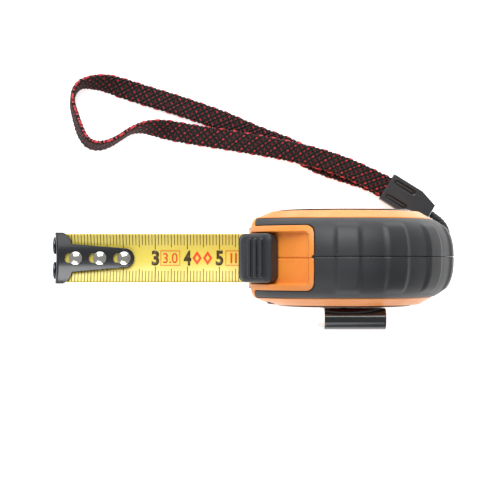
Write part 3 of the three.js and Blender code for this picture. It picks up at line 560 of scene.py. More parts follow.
def soften(piece: bpy.types.Object, voxel_mm: float, passes: int, keep: float = 1.0) -> bpy.types.Object:
    """Rounds a solid's edges as a mould does.

    Args:
        piece: the solid.
        voxel_mm: the fineness of the new surface.
        passes: smoothing passes.
        keep: the share of faces that is kept.

    Returns:
        The same object.
    """
    cut = piece.modifiers.new("surface", "REMESH")
    cut.mode = "VOXEL"
    cut.voxel_size = voxel_mm * MM
    calm = piece.modifiers.new("calm", "SMOOTH")
    calm.factor = 0.5
    calm.iterations = passes
    if keep < 1:
        thin = piece.modifiers.new("thin", "DECIMATE")
        thin.ratio = keep
    bake(piece)
    piece.data.shade_smooth()
    return piece


def dress(piece: bpy.types.Object, finish: Finish) -> None:
    """Gives a piece one finish."""
    piece.data.materials.clear()
    piece.data.materials.append(finish.material())


def register(piece: bpy.types.Object, finish: Finish | None, body: str,
             nodes: Sequence[str]) -> bpy.types.Object:
    """Dresses a piece, sets it on its body and hides the CAD nodes that it stands for.

    Args:
        piece: the finished object.
        finish: its finish, or None where it has several already.
        body: the body that it rides on.
        nodes: the CAD nodes that it replaces.

    Returns:
        The piece.
    """
    if finish:
        dress(piece, finish)
    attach(piece, body)
    if nodes:
        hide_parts(*nodes)
    LOG.info("%s: %d faces on %s", piece.name, len(piece.data.polygons), body)
    return piece


# ---------------------------------------------------------------- wrist strap


@dataclass
class WristStrap:
    """The braided loop, its crimped connector and the thin cord that ties it to the case."""

    width: float = 6.5
    thickness: float = 1.6
    knuckle: float = 0.683
    knuckle_depth: float = 0.22
    braid_sides: int = 64
    tuck: float = 1.1
    cord_diameter: float = 2.2
    connector_start: tuple[float, float] = (15.3, 22.5)
    connector_turn: float = math.radians(-31.8)
    connector_length: float = 16.0
    connector_straight: float = 10.3
    connector_half: float = 4.5
    connector_tip: float = 2.8
    connector_height: float = 4.6
    slot_middle: float = 2.6
    route: list[tuple] = field(default_factory=lambda: [
        (14.9, 22.75, 2.35, 180), (9.7, 25.2, 2.3, 180), (2.8, 28.3, 2.1, 180), (-6.3, 31.4, 2.05, 180),
        (-15.4, 33.6, 2.05, 180), (-24.8, 35.4, 2.05, 180), (-36.8, 37.4, 2, 180), (-44, 38.6, 1.4, 180),
        (-51.2, 39.9, 0.5, 171), (-56.4, 40.8, 0.1, 146), (-60.8, 41, 0.1, 118), (-65.2, 39.9, 0.1, 96),
        (-68.5, 37.9, 0.1, 93), (-71.8, 36.1, 0.1, 99), (-75.1, 35.3, 0.1, 107), (-78.1, 36, 0.1, 112),
        (-80, 38, 0.1, 112), (-81.1, 40.3, 0.1, 111), (-82.4, 44.4, 0.1, 107), (-83.4, 48.6, 0.1, 100),
        (-83, 51.9, 0.1, 92), (-81.2, 54.2, 0.1, 80), (-78.2, 55.1, 0.1, 62), (-73, 55, 0.1, 36),
        (-67.4, 53.4, 0.1, 12), (-60.7, 51.3, 0.1, 2), (-51.2, 48.4, 0.1, 0), (-36.8, 43.4, 0.1, 0),
        (-26, 38.8, 0.1, 0), (-15.1, 34.6, 0.1, 0), (-6, 29.9, 0.1, 0), (2.8, 26.8, 0.15, 0),
        (9.2, 24.7, 0.4, 0), (14.55, 22.3, 0.55, 0),
    ])
    cord_route: list[Point] = field(default_factory=lambda: [
        (29.2, 13.85, 2.3), (30.6, 12.9, 2.3), (32.2, 11.6, 2.2), (33.6, 9.8, 2.1), (34.3, 7.6, 2.1),
        (34.1, 5.4, 2.2), (33, 3.6, 2.3), (31.3, 2.6, 2.4), (29.3, 2.4, 2.4), (25, 2.4, 2.4),
        (20, 2.4, 2.4), (15.9, 2.4, 2.4),
    ])

    @staticmethod
    def smooth_route(points: Sequence[Point], step: float) -> np.ndarray:
        """A smooth line through the points, in even steps.

        Args:
            points: the route's points in millimetres, each with anything else that changes along it.
            step: the distance between the results.

        Returns:
            The line's points, with as many columns.
        """
        spots = np.array(points, float)
        spots = np.vstack([2 * spots[0] - spots[1], spots, 2 * spots[-1] - spots[-2]])
        spots[[0, -1], 3:] = spots[[1, -2], 3:]
        line = []
        for p0, p1, p2, p3 in zip(spots, spots[1:], spots[2:], spots[3:]):
            gaps = [math.sqrt(np.linalg.norm((b - a)[:3])) for a, b in ((p0, p1), (p1, p2), (p2, p3))]
            t1 = gaps[0]
            t2 = t1 + gaps[1]
            t3 = t2 + gaps[2]
            for t in np.linspace(t1, t2, 24, endpoint=False):
                a1 = ((t1 - t) * p0 + t * p1) / t1
                a2 = ((t2 - t) * p1 + (t - t1) * p2) / (t2 - t1)
                a3 = ((t3 - t) * p2 + (t - t2) * p3) / (t3 - t2)
                b1 = ((t2 - t) * a1 + t * a2) / t2
                b2 = ((t3 - t) * a2 + (t - t1) * a3) / (t3 - t1)
                line.append(((t2 - t) * b1 + (t - t1) * b2) / (t2 - t1))
        line = np.array([*line, spots[-2]])
        run = np.concatenate([[0], np.cumsum(np.linalg.norm(np.diff(line[:, :3], axis=0), axis=1))])
        wanted = np.linspace(0, run[-1], int(run[-1] / step) + 1)
        return np.column_stack([np.interp(wanted, run, line[:, k]) for k in range(line.shape[1])])

    @staticmethod
    def frames(line: np.ndarray) -> tuple[np.ndarray, np.ndarray, np.ndarray]:
        """The directions along, across and out of a line that lies on a table.

        Args:
            line: the line's points.

        Returns:
            Three arrays of unit vectors.
        """
        along = np.gradient(line, axis=0)
        along /= np.linalg.norm(along, axis=1)[:, None]
        across = np.cross([0, 0, 1], along)
        across /= np.linalg.norm(across, axis=1)[:, None]
        return along, across, np.cross(along, across)

    def ribbon(self, step: float) -> tuple[np.ndarray, np.ndarray, np.ndarray]:
        """The band's centre line, with the directions of its width and of its thickness.

        Args:
            step: the distance between its points.

        Returns:
            Three arrays.
        """
        rolls = np.radians([point[3] for point in self.route])
        half = self.width / 2 * np.abs(np.sin(rolls)) + self.thickness / 2 * np.abs(np.cos(rolls))
        spots = [(x, y, lift + up, roll) for (x, y, lift, _), up, roll in zip(self.route, half, rolls)]
        nose = self.tuck * np.array([math.cos(self.connector_turn), math.sin(self.connector_turn), 0, 0])
        spots = np.array(spots)
        spots[[0, -1]] += nose
        whole = self.smooth_route(spots, step)
        line, roll = whole[:, :3], whole[:, 3:]
        across, out = self.frames(line)[1:]
        return line, across * np.cos(roll) + out * np.sin(roll), out * np.cos(roll) - across * np.sin(roll)

    def webbing(self) -> bpy.types.Object:
        """The flat braid: round edged, knuckled all over, turning on edge round the loop's end.

        Returns:
            The braid.
        """
        step, around = 0.19, self.braid_sides
        line, wide, deep = self.ribbon(step)
        radius = self.thickness / 2
        flat = self.width / 2 - radius
        half_round = math.pi * radius / 2
        spread = np.linspace(0, 1, around // 2, endpoint=False)
        # one side's arc length runs from one edge to the other, over the flat face
        reach = (spread * 2 - 1) * (flat + half_round)
        bend = np.clip((np.abs(reach) - flat) / radius, 0, None)
        y = np.sign(reach) * (np.minimum(np.abs(reach), flat) + radius * np.sin(bend))
        z = radius * np.cos(bend)
        ys, zs, vs = np.concatenate([y, -y]), np.concatenate([z, -z]), np.concatenate([reach, -reach])
        u = np.arange(len(line)) * step
        rise = u[:, None] / self.knuckle + vs / self.knuckle
        fall = u[:, None] / self.knuckle - vs / self.knuckle
        knuckle = np.abs(np.sin(math.pi * rise / 2) * np.sin(math.pi * fall / 2)) ** 0.8
        scallop = np.abs(vs) > flat
        edge_wave = 1 + scallop * 0.035 * np.sin(math.pi * u / self.knuckle)[:, None]
        sunk = (1 - knuckle) * self.knuckle_depth
        rings = (line[:, None, :] + wide[:, None, :] * (ys * edge_wave * (1 - scallop * sunk / 3))[:, :, None]
                 + deep[:, None, :] * (zs * (1 - sunk / radius))[:, :, None])
        rings[:, :, 2] = np.maximum(rings[:, :, 2], 0.02)
        piece = loft("strap_braid", rings)
        self.unwrap(piece, line, u, wide, flat, radius)
        return piece

    def unwrap(self, piece: bpy.types.Object, line: np.ndarray, u: np.ndarray, wide: np.ndarray,
               flat: float, radius: float) -> None:
        """Gives the braid a UV map in millimetres: along it, and across it round its edges.

        Args:
            piece: the braid.
            line: its centre line.
            u: the distance along at each point of the line.
            wide: its direction of width at each point.
            flat: half of its flat face.
            radius: half of its thickness.
        """
        mesh = piece.data
        spots = np.empty(len(mesh.vertices) * 3, np.float32)
        mesh.vertices.foreach_get("co", spots)
        spots = spots.reshape(-1, 3) / MM
        ring = np.clip(np.arange(len(spots)) // self.braid_sides, 0, len(line) - 1)
        offset = np.einsum("ij,ij->i", spots - line[ring], wide[ring])
        inner = np.clip((np.abs(offset) - flat) / radius, 0, 1)
        v = np.sign(offset) * (np.minimum(np.abs(offset), flat) + np.arcsin(inner) * radius)
        layer = mesh.uv_layers.new(name="braid_mm")
        corners = np.empty(len(mesh.loops), np.int32)
        mesh.loops.foreach_get("vertex_index", corners)
        layer.data.foreach_set("uv", np.column_stack([u[ring], v])[corners].astype(np.float32).ravel())

    def edge_floats(self) -> bpy.types.Object:
        """Red yarn ends along both edges, set out by Geometry Nodes.

        Returns:
            The yarn ends as one object.
        """
        line, wide, _ = self.ribbon(0.5)
        points, links = [], []
        for side in (-1, 1):
            first = len(points)
            edge = line + side * wide * (self.width / 2 - 0.2)
            edge[:, 2] = np.maximum(edge[:, 2], 0.45)
            points += list(edge[4:-4])
            links += [(i, i + 1) for i in range(first, len(points) - 1)]
        mesh = bpy.data.meshes.new("strap_edge_yarn")
        mesh.from_pydata((np.array(points) * MM).tolist(), links, [])
        piece = bpy.data.objects.new("strap_edge_yarn", mesh)
        bpy.context.scene.collection.objects.link(piece)
        tree = bpy.data.node_groups.new("yarn_floats", "GeometryNodeTree")
        sockets = named_inputs(tree, {"Pitch": 4.1 * MM, "Length": 1.7 * MM, "Thickness": 0.7 * MM})
        given = add_node(tree, "NodeGroupInput")
        curve = add_node(tree, "GeometryNodeMeshToCurve", {"Mesh": given.outputs["Geometry"]})
        spaced = add_node(tree, "GeometryNodeResampleCurve", {
            "Curve": curve.outputs[0], "Length": given.outputs["Pitch"]}, mode="LENGTH")
        heading = add_node(tree, "GeometryNodeInputTangent")
        turn = add_node(tree, "FunctionNodeAlignRotationToVector", {"Vector": heading.outputs[0]}, axis="X")
        bead = add_node(tree, "GeometryNodeMeshUVSphere", {"Segments": 12, "Rings": 8, "Radius": 0.5})
        size = add_node(tree, "ShaderNodeCombineXYZ", {
            0: given.outputs["Length"], 1: given.outputs["Thickness"], 2: given.outputs["Thickness"]})
        beads = add_node(tree, "GeometryNodeInstanceOnPoints", {
            "Points": spaced.outputs[0], "Instance": bead.outputs["Mesh"], "Rotation": turn.outputs[0],
            "Scale": size.outputs[0]})
        finish_tree(tree, given, beads.outputs[0])
        grow(piece, tree, sockets, {}, RED_YARN)
        return piece

    def connector(self) -> bpy.types.Object:
        """The crimped black cap, with its pointed nose and two recessed slots on the top.

        Returns:
            The cap.
        """
        half, tip, nose = self.connector_half, self.connector_tip, self.connector_length
        shape = [(0, -half), (self.connector_straight, -half), (nose, -tip), (nose, tip),
                 (self.connector_straight, half), (0, half)]
        turn = self.connector_turn
        x0, y0 = self.connector_start

        def place(a: float, b: float, level: float) -> Point:
            """A point along the cap, across it and at a level."""
            return (x0 + a * math.cos(turn) - b * math.sin(turn),
                    y0 + a * math.sin(turn) + b * math.cos(turn), level)

        top, middle = self.connector_height, self.slot_middle
        piece = prism("strap_cap", shape, place, 0.05, top)
        for side in (-1, 1):
            outer = rounded(1.3, 8.8, side * middle - 0.75, side * middle + 0.75, 0.7)
            combine(piece, prism("slot", outer, place, top - 0.7, top + 1))
            inner = rounded(2.0, 8.1, side * middle - 0.3, side * middle + 0.3, 0.28)
            combine(piece, prism("ridge", inner, place, top - 0.9, top - 0.25), "UNION")
        return soften(piece, 0.13, 3, 0.5)

    def cord(self) -> bpy.types.Object:
        """The thin braided cord, with its strands crossing round it.

        Returns:
            The cord.
        """
        step, around = 0.12, 24
        line = self.smooth_route(self.cord_route, step)
        across, out = self.frames(line)[1:]
        turns = np.linspace(0, 2 * math.pi, around, endpoint=False)
        u = np.arange(len(line))[:, None] * step
        weave = np.abs(np.sin(2 * turns + u * 2.6) * np.sin(2 * turns - u * 2.6)) ** 0.6
        radius = self.cord_diameter / 2 * (0.8 + 0.2 * weave)
        rings = (line[:, None, :] + across[:, None, :] * (radius * np.cos(turns))[:, :, None]
                 + out[:, None, :] * (radius * np.sin(turns))[:, :, None])
        return loft("strap_tie", rings)

    def build(self) -> None:
        cap = register(self.connector(), SATIN_NYLON, "case", ["strap_connector"])
        braid = self.webbing()
        dress(braid, BRAID)
        braid = join(braid, self.edge_floats())
        register(braid, None, "case", ["strap_webbing"])
        line = self.ribbon(1.0)[0] * MM
        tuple(line[0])
        tie = register(self.cord(), BLACK_CORD, "case", ["strap_cord"])
        way = self.smooth_route(self.cord_route, 0.5)[::-1] * MM


def join(first: bpy.types.Object, second: bpy.types.Object) -> bpy.types.Object:
    """Joins a second object into a first, which keeps its name and both finishes.

    Args:
        first: the object that stays.
        second: the object that is joined to it.

    Returns:
        The first object.
    """
    with bpy.context.temp_override(active_object=first, selected_editable_objects=[first, second]):
        bpy.ops.object.join()
    return first


# ---------------------------------------------------------------- geometry node trees


def named_inputs(tree: bpy.types.NodeTree, values: dict) -> dict[str, str]:
    """Gives a tree a geometry input and output, a finish and named sizes.

    Args:
        tree: the geometry tree.
        values: each size's name and first value.

    Returns:
        Each input's identifier by its name.
    """
    face = tree.interface
    face.new_socket("Geometry", in_out="INPUT", socket_type="NodeSocketGeometry")
    face.new_socket("Geometry", in_out="OUTPUT", socket_type="NodeSocketGeometry")
    finish = face.new_socket("Finish", in_out="INPUT", socket_type="NodeSocketMaterial")
    known = {"Finish": finish.identifier}
    for name, value in values.items():
        kind = "NodeSocketInt" if isinstance(value, int) else "NodeSocketFloat"
        socket = face.new_socket(name, in_out="INPUT", socket_type=kind)
        socket.default_value = value
        known[name] = socket.identifier
    return known


def finish_tree(tree: bpy.types.NodeTree, given: bpy.types.Node, geometry: bpy.types.NodeSocket,
                bend: Callable | None = None) -> None:
    """Ends a tree: real copies, an optional bend, and the finish.

    Args:
        tree: the geometry tree.
        given: its input node.
        geometry: what has been made so far.
        bend: adds nodes that move the real copies, and returns their output.
    """
    real = add_node(tree, "GeometryNodeRealizeInstances", {"Geometry": geometry}).outputs[0]
    if bend:
        real = bend(real)
    painted = add_node(tree, "GeometryNodeSetMaterial", {
        "Geometry": real, "Material": given.outputs["Finish"]})
    add_node(tree, "NodeGroupOutput", {"Geometry": painted.outputs[0]})


def grow(piece: bpy.types.Object, tree: bpy.types.NodeTree, sockets: dict[str, str], values: dict,
         finish: Finish) -> bpy.types.Object:
    """Runs a tree on a piece and keeps the plain mesh.

    Args:
        piece: the object that the tree starts from.
        tree: the geometry tree.
        sockets: its inputs' identifiers by name.
        values: the sizes that differ from the tree's own.
        finish: the finish that it sets.

    Returns:
        The piece.
    """
    step = piece.modifiers.new("grow", "NODES")
    step.node_group = tree
    step[sockets["Finish"]] = finish.material()
    for name, value in values.items():
        step[sockets[name]] = value
    bake(piece)
    piece.data.shade_smooth()
    return piece


def seeds(name: str, points: Sequence[Point]) -> bpy.types.Object:
    """An object of loose points, for a tree to grow on.

    Args:
        name: its name.
        points: the points in millimetres.

    Returns:
        The object.
    """
    mesh = bpy.data.meshes.new(name)
    mesh.from_pydata((np.array(points, float) * MM).tolist(), [], [])
    piece = bpy.data.objects.new(name, mesh)
    bpy.context.scene.collection.objects.link(piece)
    return piece


def stud_tree() -> tuple[bpy.types.NodeTree, dict[str, str]]:
    """A tree that sets a domed round head on every point.

    Returns:
        The tree and its inputs' identifiers.
    """
    tree = bpy.data.node_groups.new("domed_heads", "GeometryNodeTree")
    sockets = named_inputs(tree, {"Radius": 2 * MM, "Height": 0.7 * MM, "Dome": 0.4 * MM, "Tilt": 0.0})
    given = add_node(tree, "NodeGroupInput")
    half = add_node(tree, "ShaderNodeMath", {0: given.outputs["Height"], 1: 0.5}, operation="MULTIPLY")
    drum = add_node(tree, "GeometryNodeMeshCylinder", {
        "Vertices": 48, "Side Segments": 2, "Fill Segments": 6, "Radius": given.outputs["Radius"],
        "Depth": given.outputs["Height"]})
    spot = add_node(tree, "GeometryNodeInputPosition")
    parts = add_node(tree, "ShaderNodeSeparateXYZ", {0: spot.outputs[0]})
    out = add_node(tree, "ShaderNodeCombineXYZ", {0: parts.outputs[0], 1: parts.outputs[1]})
    away = add_node(tree, "ShaderNodeVectorMath", {0: out.outputs[0]}, operation="LENGTH")
    ratio = add_node(tree, "ShaderNodeMath", {
        0: away.outputs["Value"], 1: given.outputs["Radius"]}, operation="DIVIDE")
    square = add_node(tree, "ShaderNodeMath", {0: ratio.outputs[0], 1: 2.0}, operation="POWER")
    fall = add_node(tree, "ShaderNodeMath", {0: square.outputs[0], 1: given.outputs["Dome"]},
                    operation="MULTIPLY")
    top = add_node(tree, "ShaderNodeMath", {0: parts.outputs[2], 1: 0.0}, operation="GREATER_THAN")
    drop = add_node(tree, "ShaderNodeMath", {0: fall.outputs[0], 1: top.outputs[0]}, operation="MULTIPLY")
    lift = add_node(tree, "ShaderNodeMath", {0: half.outputs[0], 1: drop.outputs[0]}, operation="SUBTRACT")
    shift = add_node(tree, "ShaderNodeCombineXYZ", {2: lift.outputs[0]})
    domed = add_node(tree, "GeometryNodeSetPosition", {
        "Geometry": drum.outputs["Mesh"], "Offset": shift.outputs[0]})
    turn = add_node(tree, "ShaderNodeCombineXYZ", {0: given.outputs["Tilt"]})
    heads = add_node(tree, "GeometryNodeInstanceOnPoints", {
        "Points": given.outputs["Geometry"], "Instance": domed.outputs[0], "Rotation": turn.outputs[0]})
    finish_tree(tree, given, heads.outputs[0])
    return tree, sockets


# ---------------------------------------------------------------- case


@dataclass
class Case:
    """Two orange half shells in two halves of a rubber jacket, with the lock track in the top front."""

    reel_height: float = 30.0
    radius: float = 31.7
    front: float = 28.3
    back_corner: float = 10.0
    front_corner: float = 1.5
    half_width: float = 13.6
    jacket_half: float = 11.4
    jacket_thickness: float = 1.8
    wall: float = 1.6
    front_wall: float = 2.0
    crown_width: float = 11.9
    crown_drop: float = 10.0
    crown_power: float = 2.6
    bevel_drop: float = 3.8
    front_share: float = 0.3
    front_bevel_share: float = 1.4
    base_share: float = 0.2
    base_flat: float = 7.0
    parting: float = 0.4
    gap: float = 0.02
    slope: float = math.radians(40)
    track_foot: float = 43.2
    track_length: float = 16.6
    track_half: float = 7.4
    border: float = 1.8
    back_border: float = 1.4
    pad_count: int = 4
    pad_first: float = -8.4
    pad_pitch: float = 26.2
    pad_arc: float = 13.4
    pad_height: float = 0.7
    pad_half: float = 9.6
    jacket_front_top: float = -0.4
    jacket_front_foot: float = 8.3
    eye_start: float = 14.0
    eye_width: float = 4.8
    eye_height: float = 5.2
    slot_end: float = 10.3
    slot_half: float = 2.2
    screw_seat: float = -12.6
    screw_well: float = 1.95
    label_radius: float = 19.7

    def crown_inset(self, y: float) -> float:
        """How far the crown draws the outline in at a distance from the middle."""
        across = min(abs(y), self.jacket_half) / self.crown_width
        return self.crown_drop * (1 - (1 - across ** self.crown_power) ** (1 / self.crown_power))

    def bevel_inset(self, y: float) -> float:
        """How far the bevel beside each side face draws it in as well."""
        past = max(abs(y) - self.jacket_half, 0)
        return self.bevel_drop * past / (self.half_width - self.jacket_half)

    def outline(self, depth: float, front_depth: float) -> np.ndarray:
        """The case's side view, drawn in by a depth.

        Args:
            depth: how far all but the front is drawn in.
            front_depth: how far the front is drawn in.

        Returns:
            Evenly spaced points in X and Z.
        """
        radius, front, corner = self.radius - depth, self.front - front_depth, self.back_corner - depth
        low, small = depth, self.front_corner
        top = math.degrees(math.acos(-front / radius))
        points = (arc(radius - corner, low + corner, corner, -90, 0, 24)
                  + arc(0, self.reel_height, radius, 0, top, 150)
                  + arc(-front + small, low + small, small, 180, 270, 6))
        points = np.array(points + [points[0]])
        run = np.concatenate([[0], np.cumsum(np.linalg.norm(np.diff(points, axis=0), axis=1))])
        keep = np.concatenate([[True], np.diff(run) > 1e-6])
        wanted = np.linspace(0, run[-1], 300, endpoint=False)
        return np.column_stack([np.interp(wanted, run[keep], points[keep, k]) for k in (0, 1)])

    def block(self, depth: float, front_depth: float, half_width: float,
              pads: bool = False) -> bpy.types.Object:
        """The whole case as one crowned solid.

        Args:
            depth: how far it is drawn in.
            front_depth: how far its front is drawn in.
            half_width: half of its width.
            pads: raises the grip pads on it.

        Returns:
            The object.
        """
        flat = self.outline(depth, front_depth)
        ys = half_width * np.sin(np.linspace(-1, 1, 65) * math.pi / 2)
        rings = []
        for y in ys:
            crown, bevel = self.crown_inset(y), self.bevel_inset(y)
            inset = crown + bevel
            front_inset = self.front_share * crown + self.front_bevel_share * bevel
            x, z = flat[:, 0].copy(), flat[:, 1] - self.reel_height
            if pads:
                swell = 1 + self.pad_relief(x, z, y) / np.hypot(x, z)
                x, z = x * swell, z * swell
            base = self.base_share * max(inset - self.crown_inset(self.base_flat), 0)
            along_x = np.where(x > 0, inset / self.radius, front_inset / self.front)
            along_z = np.where(z > 0, inset / self.radius, base / self.reel_height)
            rings.append(np.column_stack([x * (1 - along_x), np.full_like(x, y),
                                          self.reel_height + z * (1 - along_z)]))
        return loft("block", np.array(rings))

    def pad_relief(self, x: np.ndarray, z: np.ndarray, y: float) -> np.ndarray:
        """How high the rubber stands: soft pads, waisted in the middle and fading at both ends.

        Args:
            x: distances behind the reel axis.
            z: heights above the reel axis.
            y: the distance from the middle.

        Returns:
            The heights.
        """
        angle = np.degrees(np.arctan2(x, z))
        ends = np.clip((self.pad_half + 0.4 - abs(y)) / 1.1, 0, 1)
        height = np.zeros_like(angle)
        for i in range(self.pad_count):
            start = self.pad_first + i * self.pad_pitch
            inside = np.minimum(angle - start, start + self.pad_arc - angle)
            rise = np.clip((inside + 0.5) / 2.4, 0, 1)
            hollow = 0.12 * (1 - (2 * (angle - start) / self.pad_arc - 1) ** 2)
            height = np.maximum(height, rise * rise * (3 - 2 * rise) * ends * (self.pad_height - hollow))
        return height

    def jacket_zone(self, clear: float) -> bpy.types.Object:
        """The space that the rubber fills: behind a leaning edge and round the lock track's frame.

        Args:
            clear: how far it stays off what it meets.

        Returns:
            The cutter.
        """
        top, foot = self.jacket_front_top + clear - self.front, self.jacket_front_foot + clear - self.front
        far, wide = 60, self.jacket_half - clear
        zone = prism("zone", [(top, 60), (foot, -1), (far, -1), (far, far + 10), (top, far + 10)], side_on,
                     -wide, wide)
        frame_half = self.track_half + self.border + clear
        frame_back = -self.front + self.track_length + self.back_border + clear
        shape = ([(-60, -frame_half)] + arc(frame_back - 2, -frame_half + 2, 2, 270, 360)
                 + [(frame_back, -0.4 + self.parting), (frame_back - 1.1, self.parting),
                    (frame_back, 0.4 + self.parting)]
                 + arc(frame_back - 2, frame_half - 2, 2, 0, 90) + [(-60, frame_half)])
        combine(zone, prism("track_frame", shape, plan, self.reel_height, 90))
        start, roof = self.eye_start - clear, self.eye_height + clear
        eye = [(start, -1), (60, -1), (60, roof), (start, roof)]
        return combine(zone, prism("eye", eye, side_on, 0, self.eye_width + clear))

    def on_track(self, s: float, n: float) -> Point:
        """A point s up the lock track's slope and n out from its floor, in X and Z."""
        c, d = math.cos(self.slope), math.sin(self.slope)
        return (-self.front + s * c - n * d, self.track_foot + s * d + n * c)

    def track_slab(self, name: str, s0: float, s1: float, n0: float, n1: float,
                   half: float) -> bpy.types.Object:
        """A slab along the lock track.

        Args:
            name: the object's name.
            s0: its start up the slope.
            s1: its end up the slope.
            n0: its underside.
            n1: its top.
            half: half of its width.

        Returns:
            The object.
        """
        corners = [self.on_track(s0, n0), self.on_track(s1, n0), self.on_track(s1, n1), self.on_track(s0, n1)]
        return prism(name, corners, side_on, -half, half)

    def recess(self) -> bpy.types.Object:
        """The cutter for the lock track: round back corners over a sloping floor.

        Returns:
            The cutter.
        """
        back, half = -self.front + self.track_length, self.track_half
        shape = ([(-60, -half)] + arc(back - 1.3, -half + 1.3, 1.3, 270, 360)
                 + arc(back - 1.3, half - 1.3, 1.3, 0, 90) + [(-60, half)])
        tool = prism("recess", shape, plan, 10, 90)
        under = [self.on_track(-60, 0), self.on_track(60, 0), (60, -60), (-80, -60)]
        return combine(tool, prism("floor", under, side_on, -40, 40))

    def half_space(self, side: int, parting: float) -> bpy.types.Object:
        """Everything on one side of a parting plane."""
        low, high = (parting + self.gap, 90) if side > 0 else (-90, parting - self.gap)
        return prism("half", [(-120, -90), (120, -90), (120, 120), (-120, 120)], side_on, low, high)

    def shell(self, side: int, reach: float) -> bpy.types.Object:
        """One orange half shell.

        Args:
            side: 1 for the strap's side and -1 for the clip's.
            reach: the jacket space's outer clearance.

        Returns:
            The object.
        """
        run = self.track_length / math.cos(self.slope)
        name = "strap_half_shell" if side > 0 else "clip_half_shell"
        shell = self.block(0, 0, self.half_width)
        shell.name = name
        space = combine(self.jacket_zone(reach),
                        self.block(self.jacket_thickness, self.jacket_thickness, self.half_width))
        depth = self.jacket_thickness + self.wall
        cavity = combine(self.block(depth, self.front_wall, self.half_width - self.wall),
                         self.track_slab("deck", -3, run + 1, -self.wall, 8, self.track_half + self.wall))
        combine(shell, cavity)
        combine(shell, space)
        combine(shell, self.recess())
        combine(shell, self.track_slab("slot", -0.1, self.slot_end, -5, 5, self.slot_half))
        mouth = rounded(-9.6, 9.6, 4.2, 11.2, 0.8)
        combine(shell, prism("mouth", mouth, end_on, -60, -self.front + 6))
        combine(shell, self.half_space(side, 0), "INTERSECT")
        if side < 0:
            for node in ("case_screw_1", "case_screw_2", "case_screw_3"):
                low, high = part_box(node)
                x, z = (low.x + high.x) / 2 / MM, (low.z + high.z) / 2 / MM
                well = [(0, -20), (self.screw_well, -20), (self.screw_well, self.screw_seat),
                        (0, self.screw_seat)]
                combine(shell, turned("well", well, (x, 0, z)))
        else:
            combine(shell, turned("eye_hole", [(0, 15.5), (1.3, 15.5), (1.3, 60), (0, 60)],
                                  (0, 2.4, 2.4), "x", 32))
        return soften(shell, 0.24, 3, 0.42)

    def jacket(self, side: int) -> bpy.types.Object:
        """One half of the rubber jacket, with its soft grip pads.

        Args:
            side: 1 for the strap's side and -1 for the clip's.

        Returns:
            The object.
        """
        jacket = self.block(0, 0, self.half_width, pads=True)
        jacket.name = "strap_half_rubber" if side > 0 else "clip_half_rubber"
        combine(jacket, self.jacket_zone(0.12), "INTERSECT")
        inner = self.jacket_thickness - 0.15
        combine(jacket, self.block(inner, inner, self.half_width + 1))
        combine(jacket, self.half_space(side, self.parting), "INTERSECT")
        return soften(jacket, 0.24, 3, 0.7)

    def label(self, side: int) -> bpy.types.Object:
        """A round printed label with a rolled rim, set on a side face.

        Args:
            side: 1 for the strap's side and -1 for the clip's.

        Returns:
            The object.
        """
        inner, outer = self.half_width + 0.05, self.half_width + 0.5
        radius, hole = self.label_radius, 1.3 if side < 0 else 0.02
        profile = [(hole, inner), (radius, inner), (radius, outer - 0.15), (radius - 0.15, outer),
                   (radius - 0.9, outer), (radius - 1.05, outer - 0.12), (radius - 1.2, outer - 0.12),
                   (hole + 0.2, outer - 0.12), (hole, outer - 0.12)]
        profile = [(r, side * y) for r, y in profile] + [(hole, side * inner)]
        name = "strap_side_print" if side > 0 else "clip_side_print"
        return turned(name, profile[:-1], (0, 0, self.reel_height), steps=120)

    def build(self) -> None:
        """Makes both shells, both jacket halves and both labels."""
        for side, word in ((1, "strap"), (-1, "clip")):
            register(self.shell(side, 0), ORANGE_ABS, "case", [f"{word}_side_shell"])
            register(self.jacket(side), RUBBER, "case", [f"{word}_side_grip"])
            register(self.label(side), LABEL_PAPER, "case", [f"{word}_side_label"])


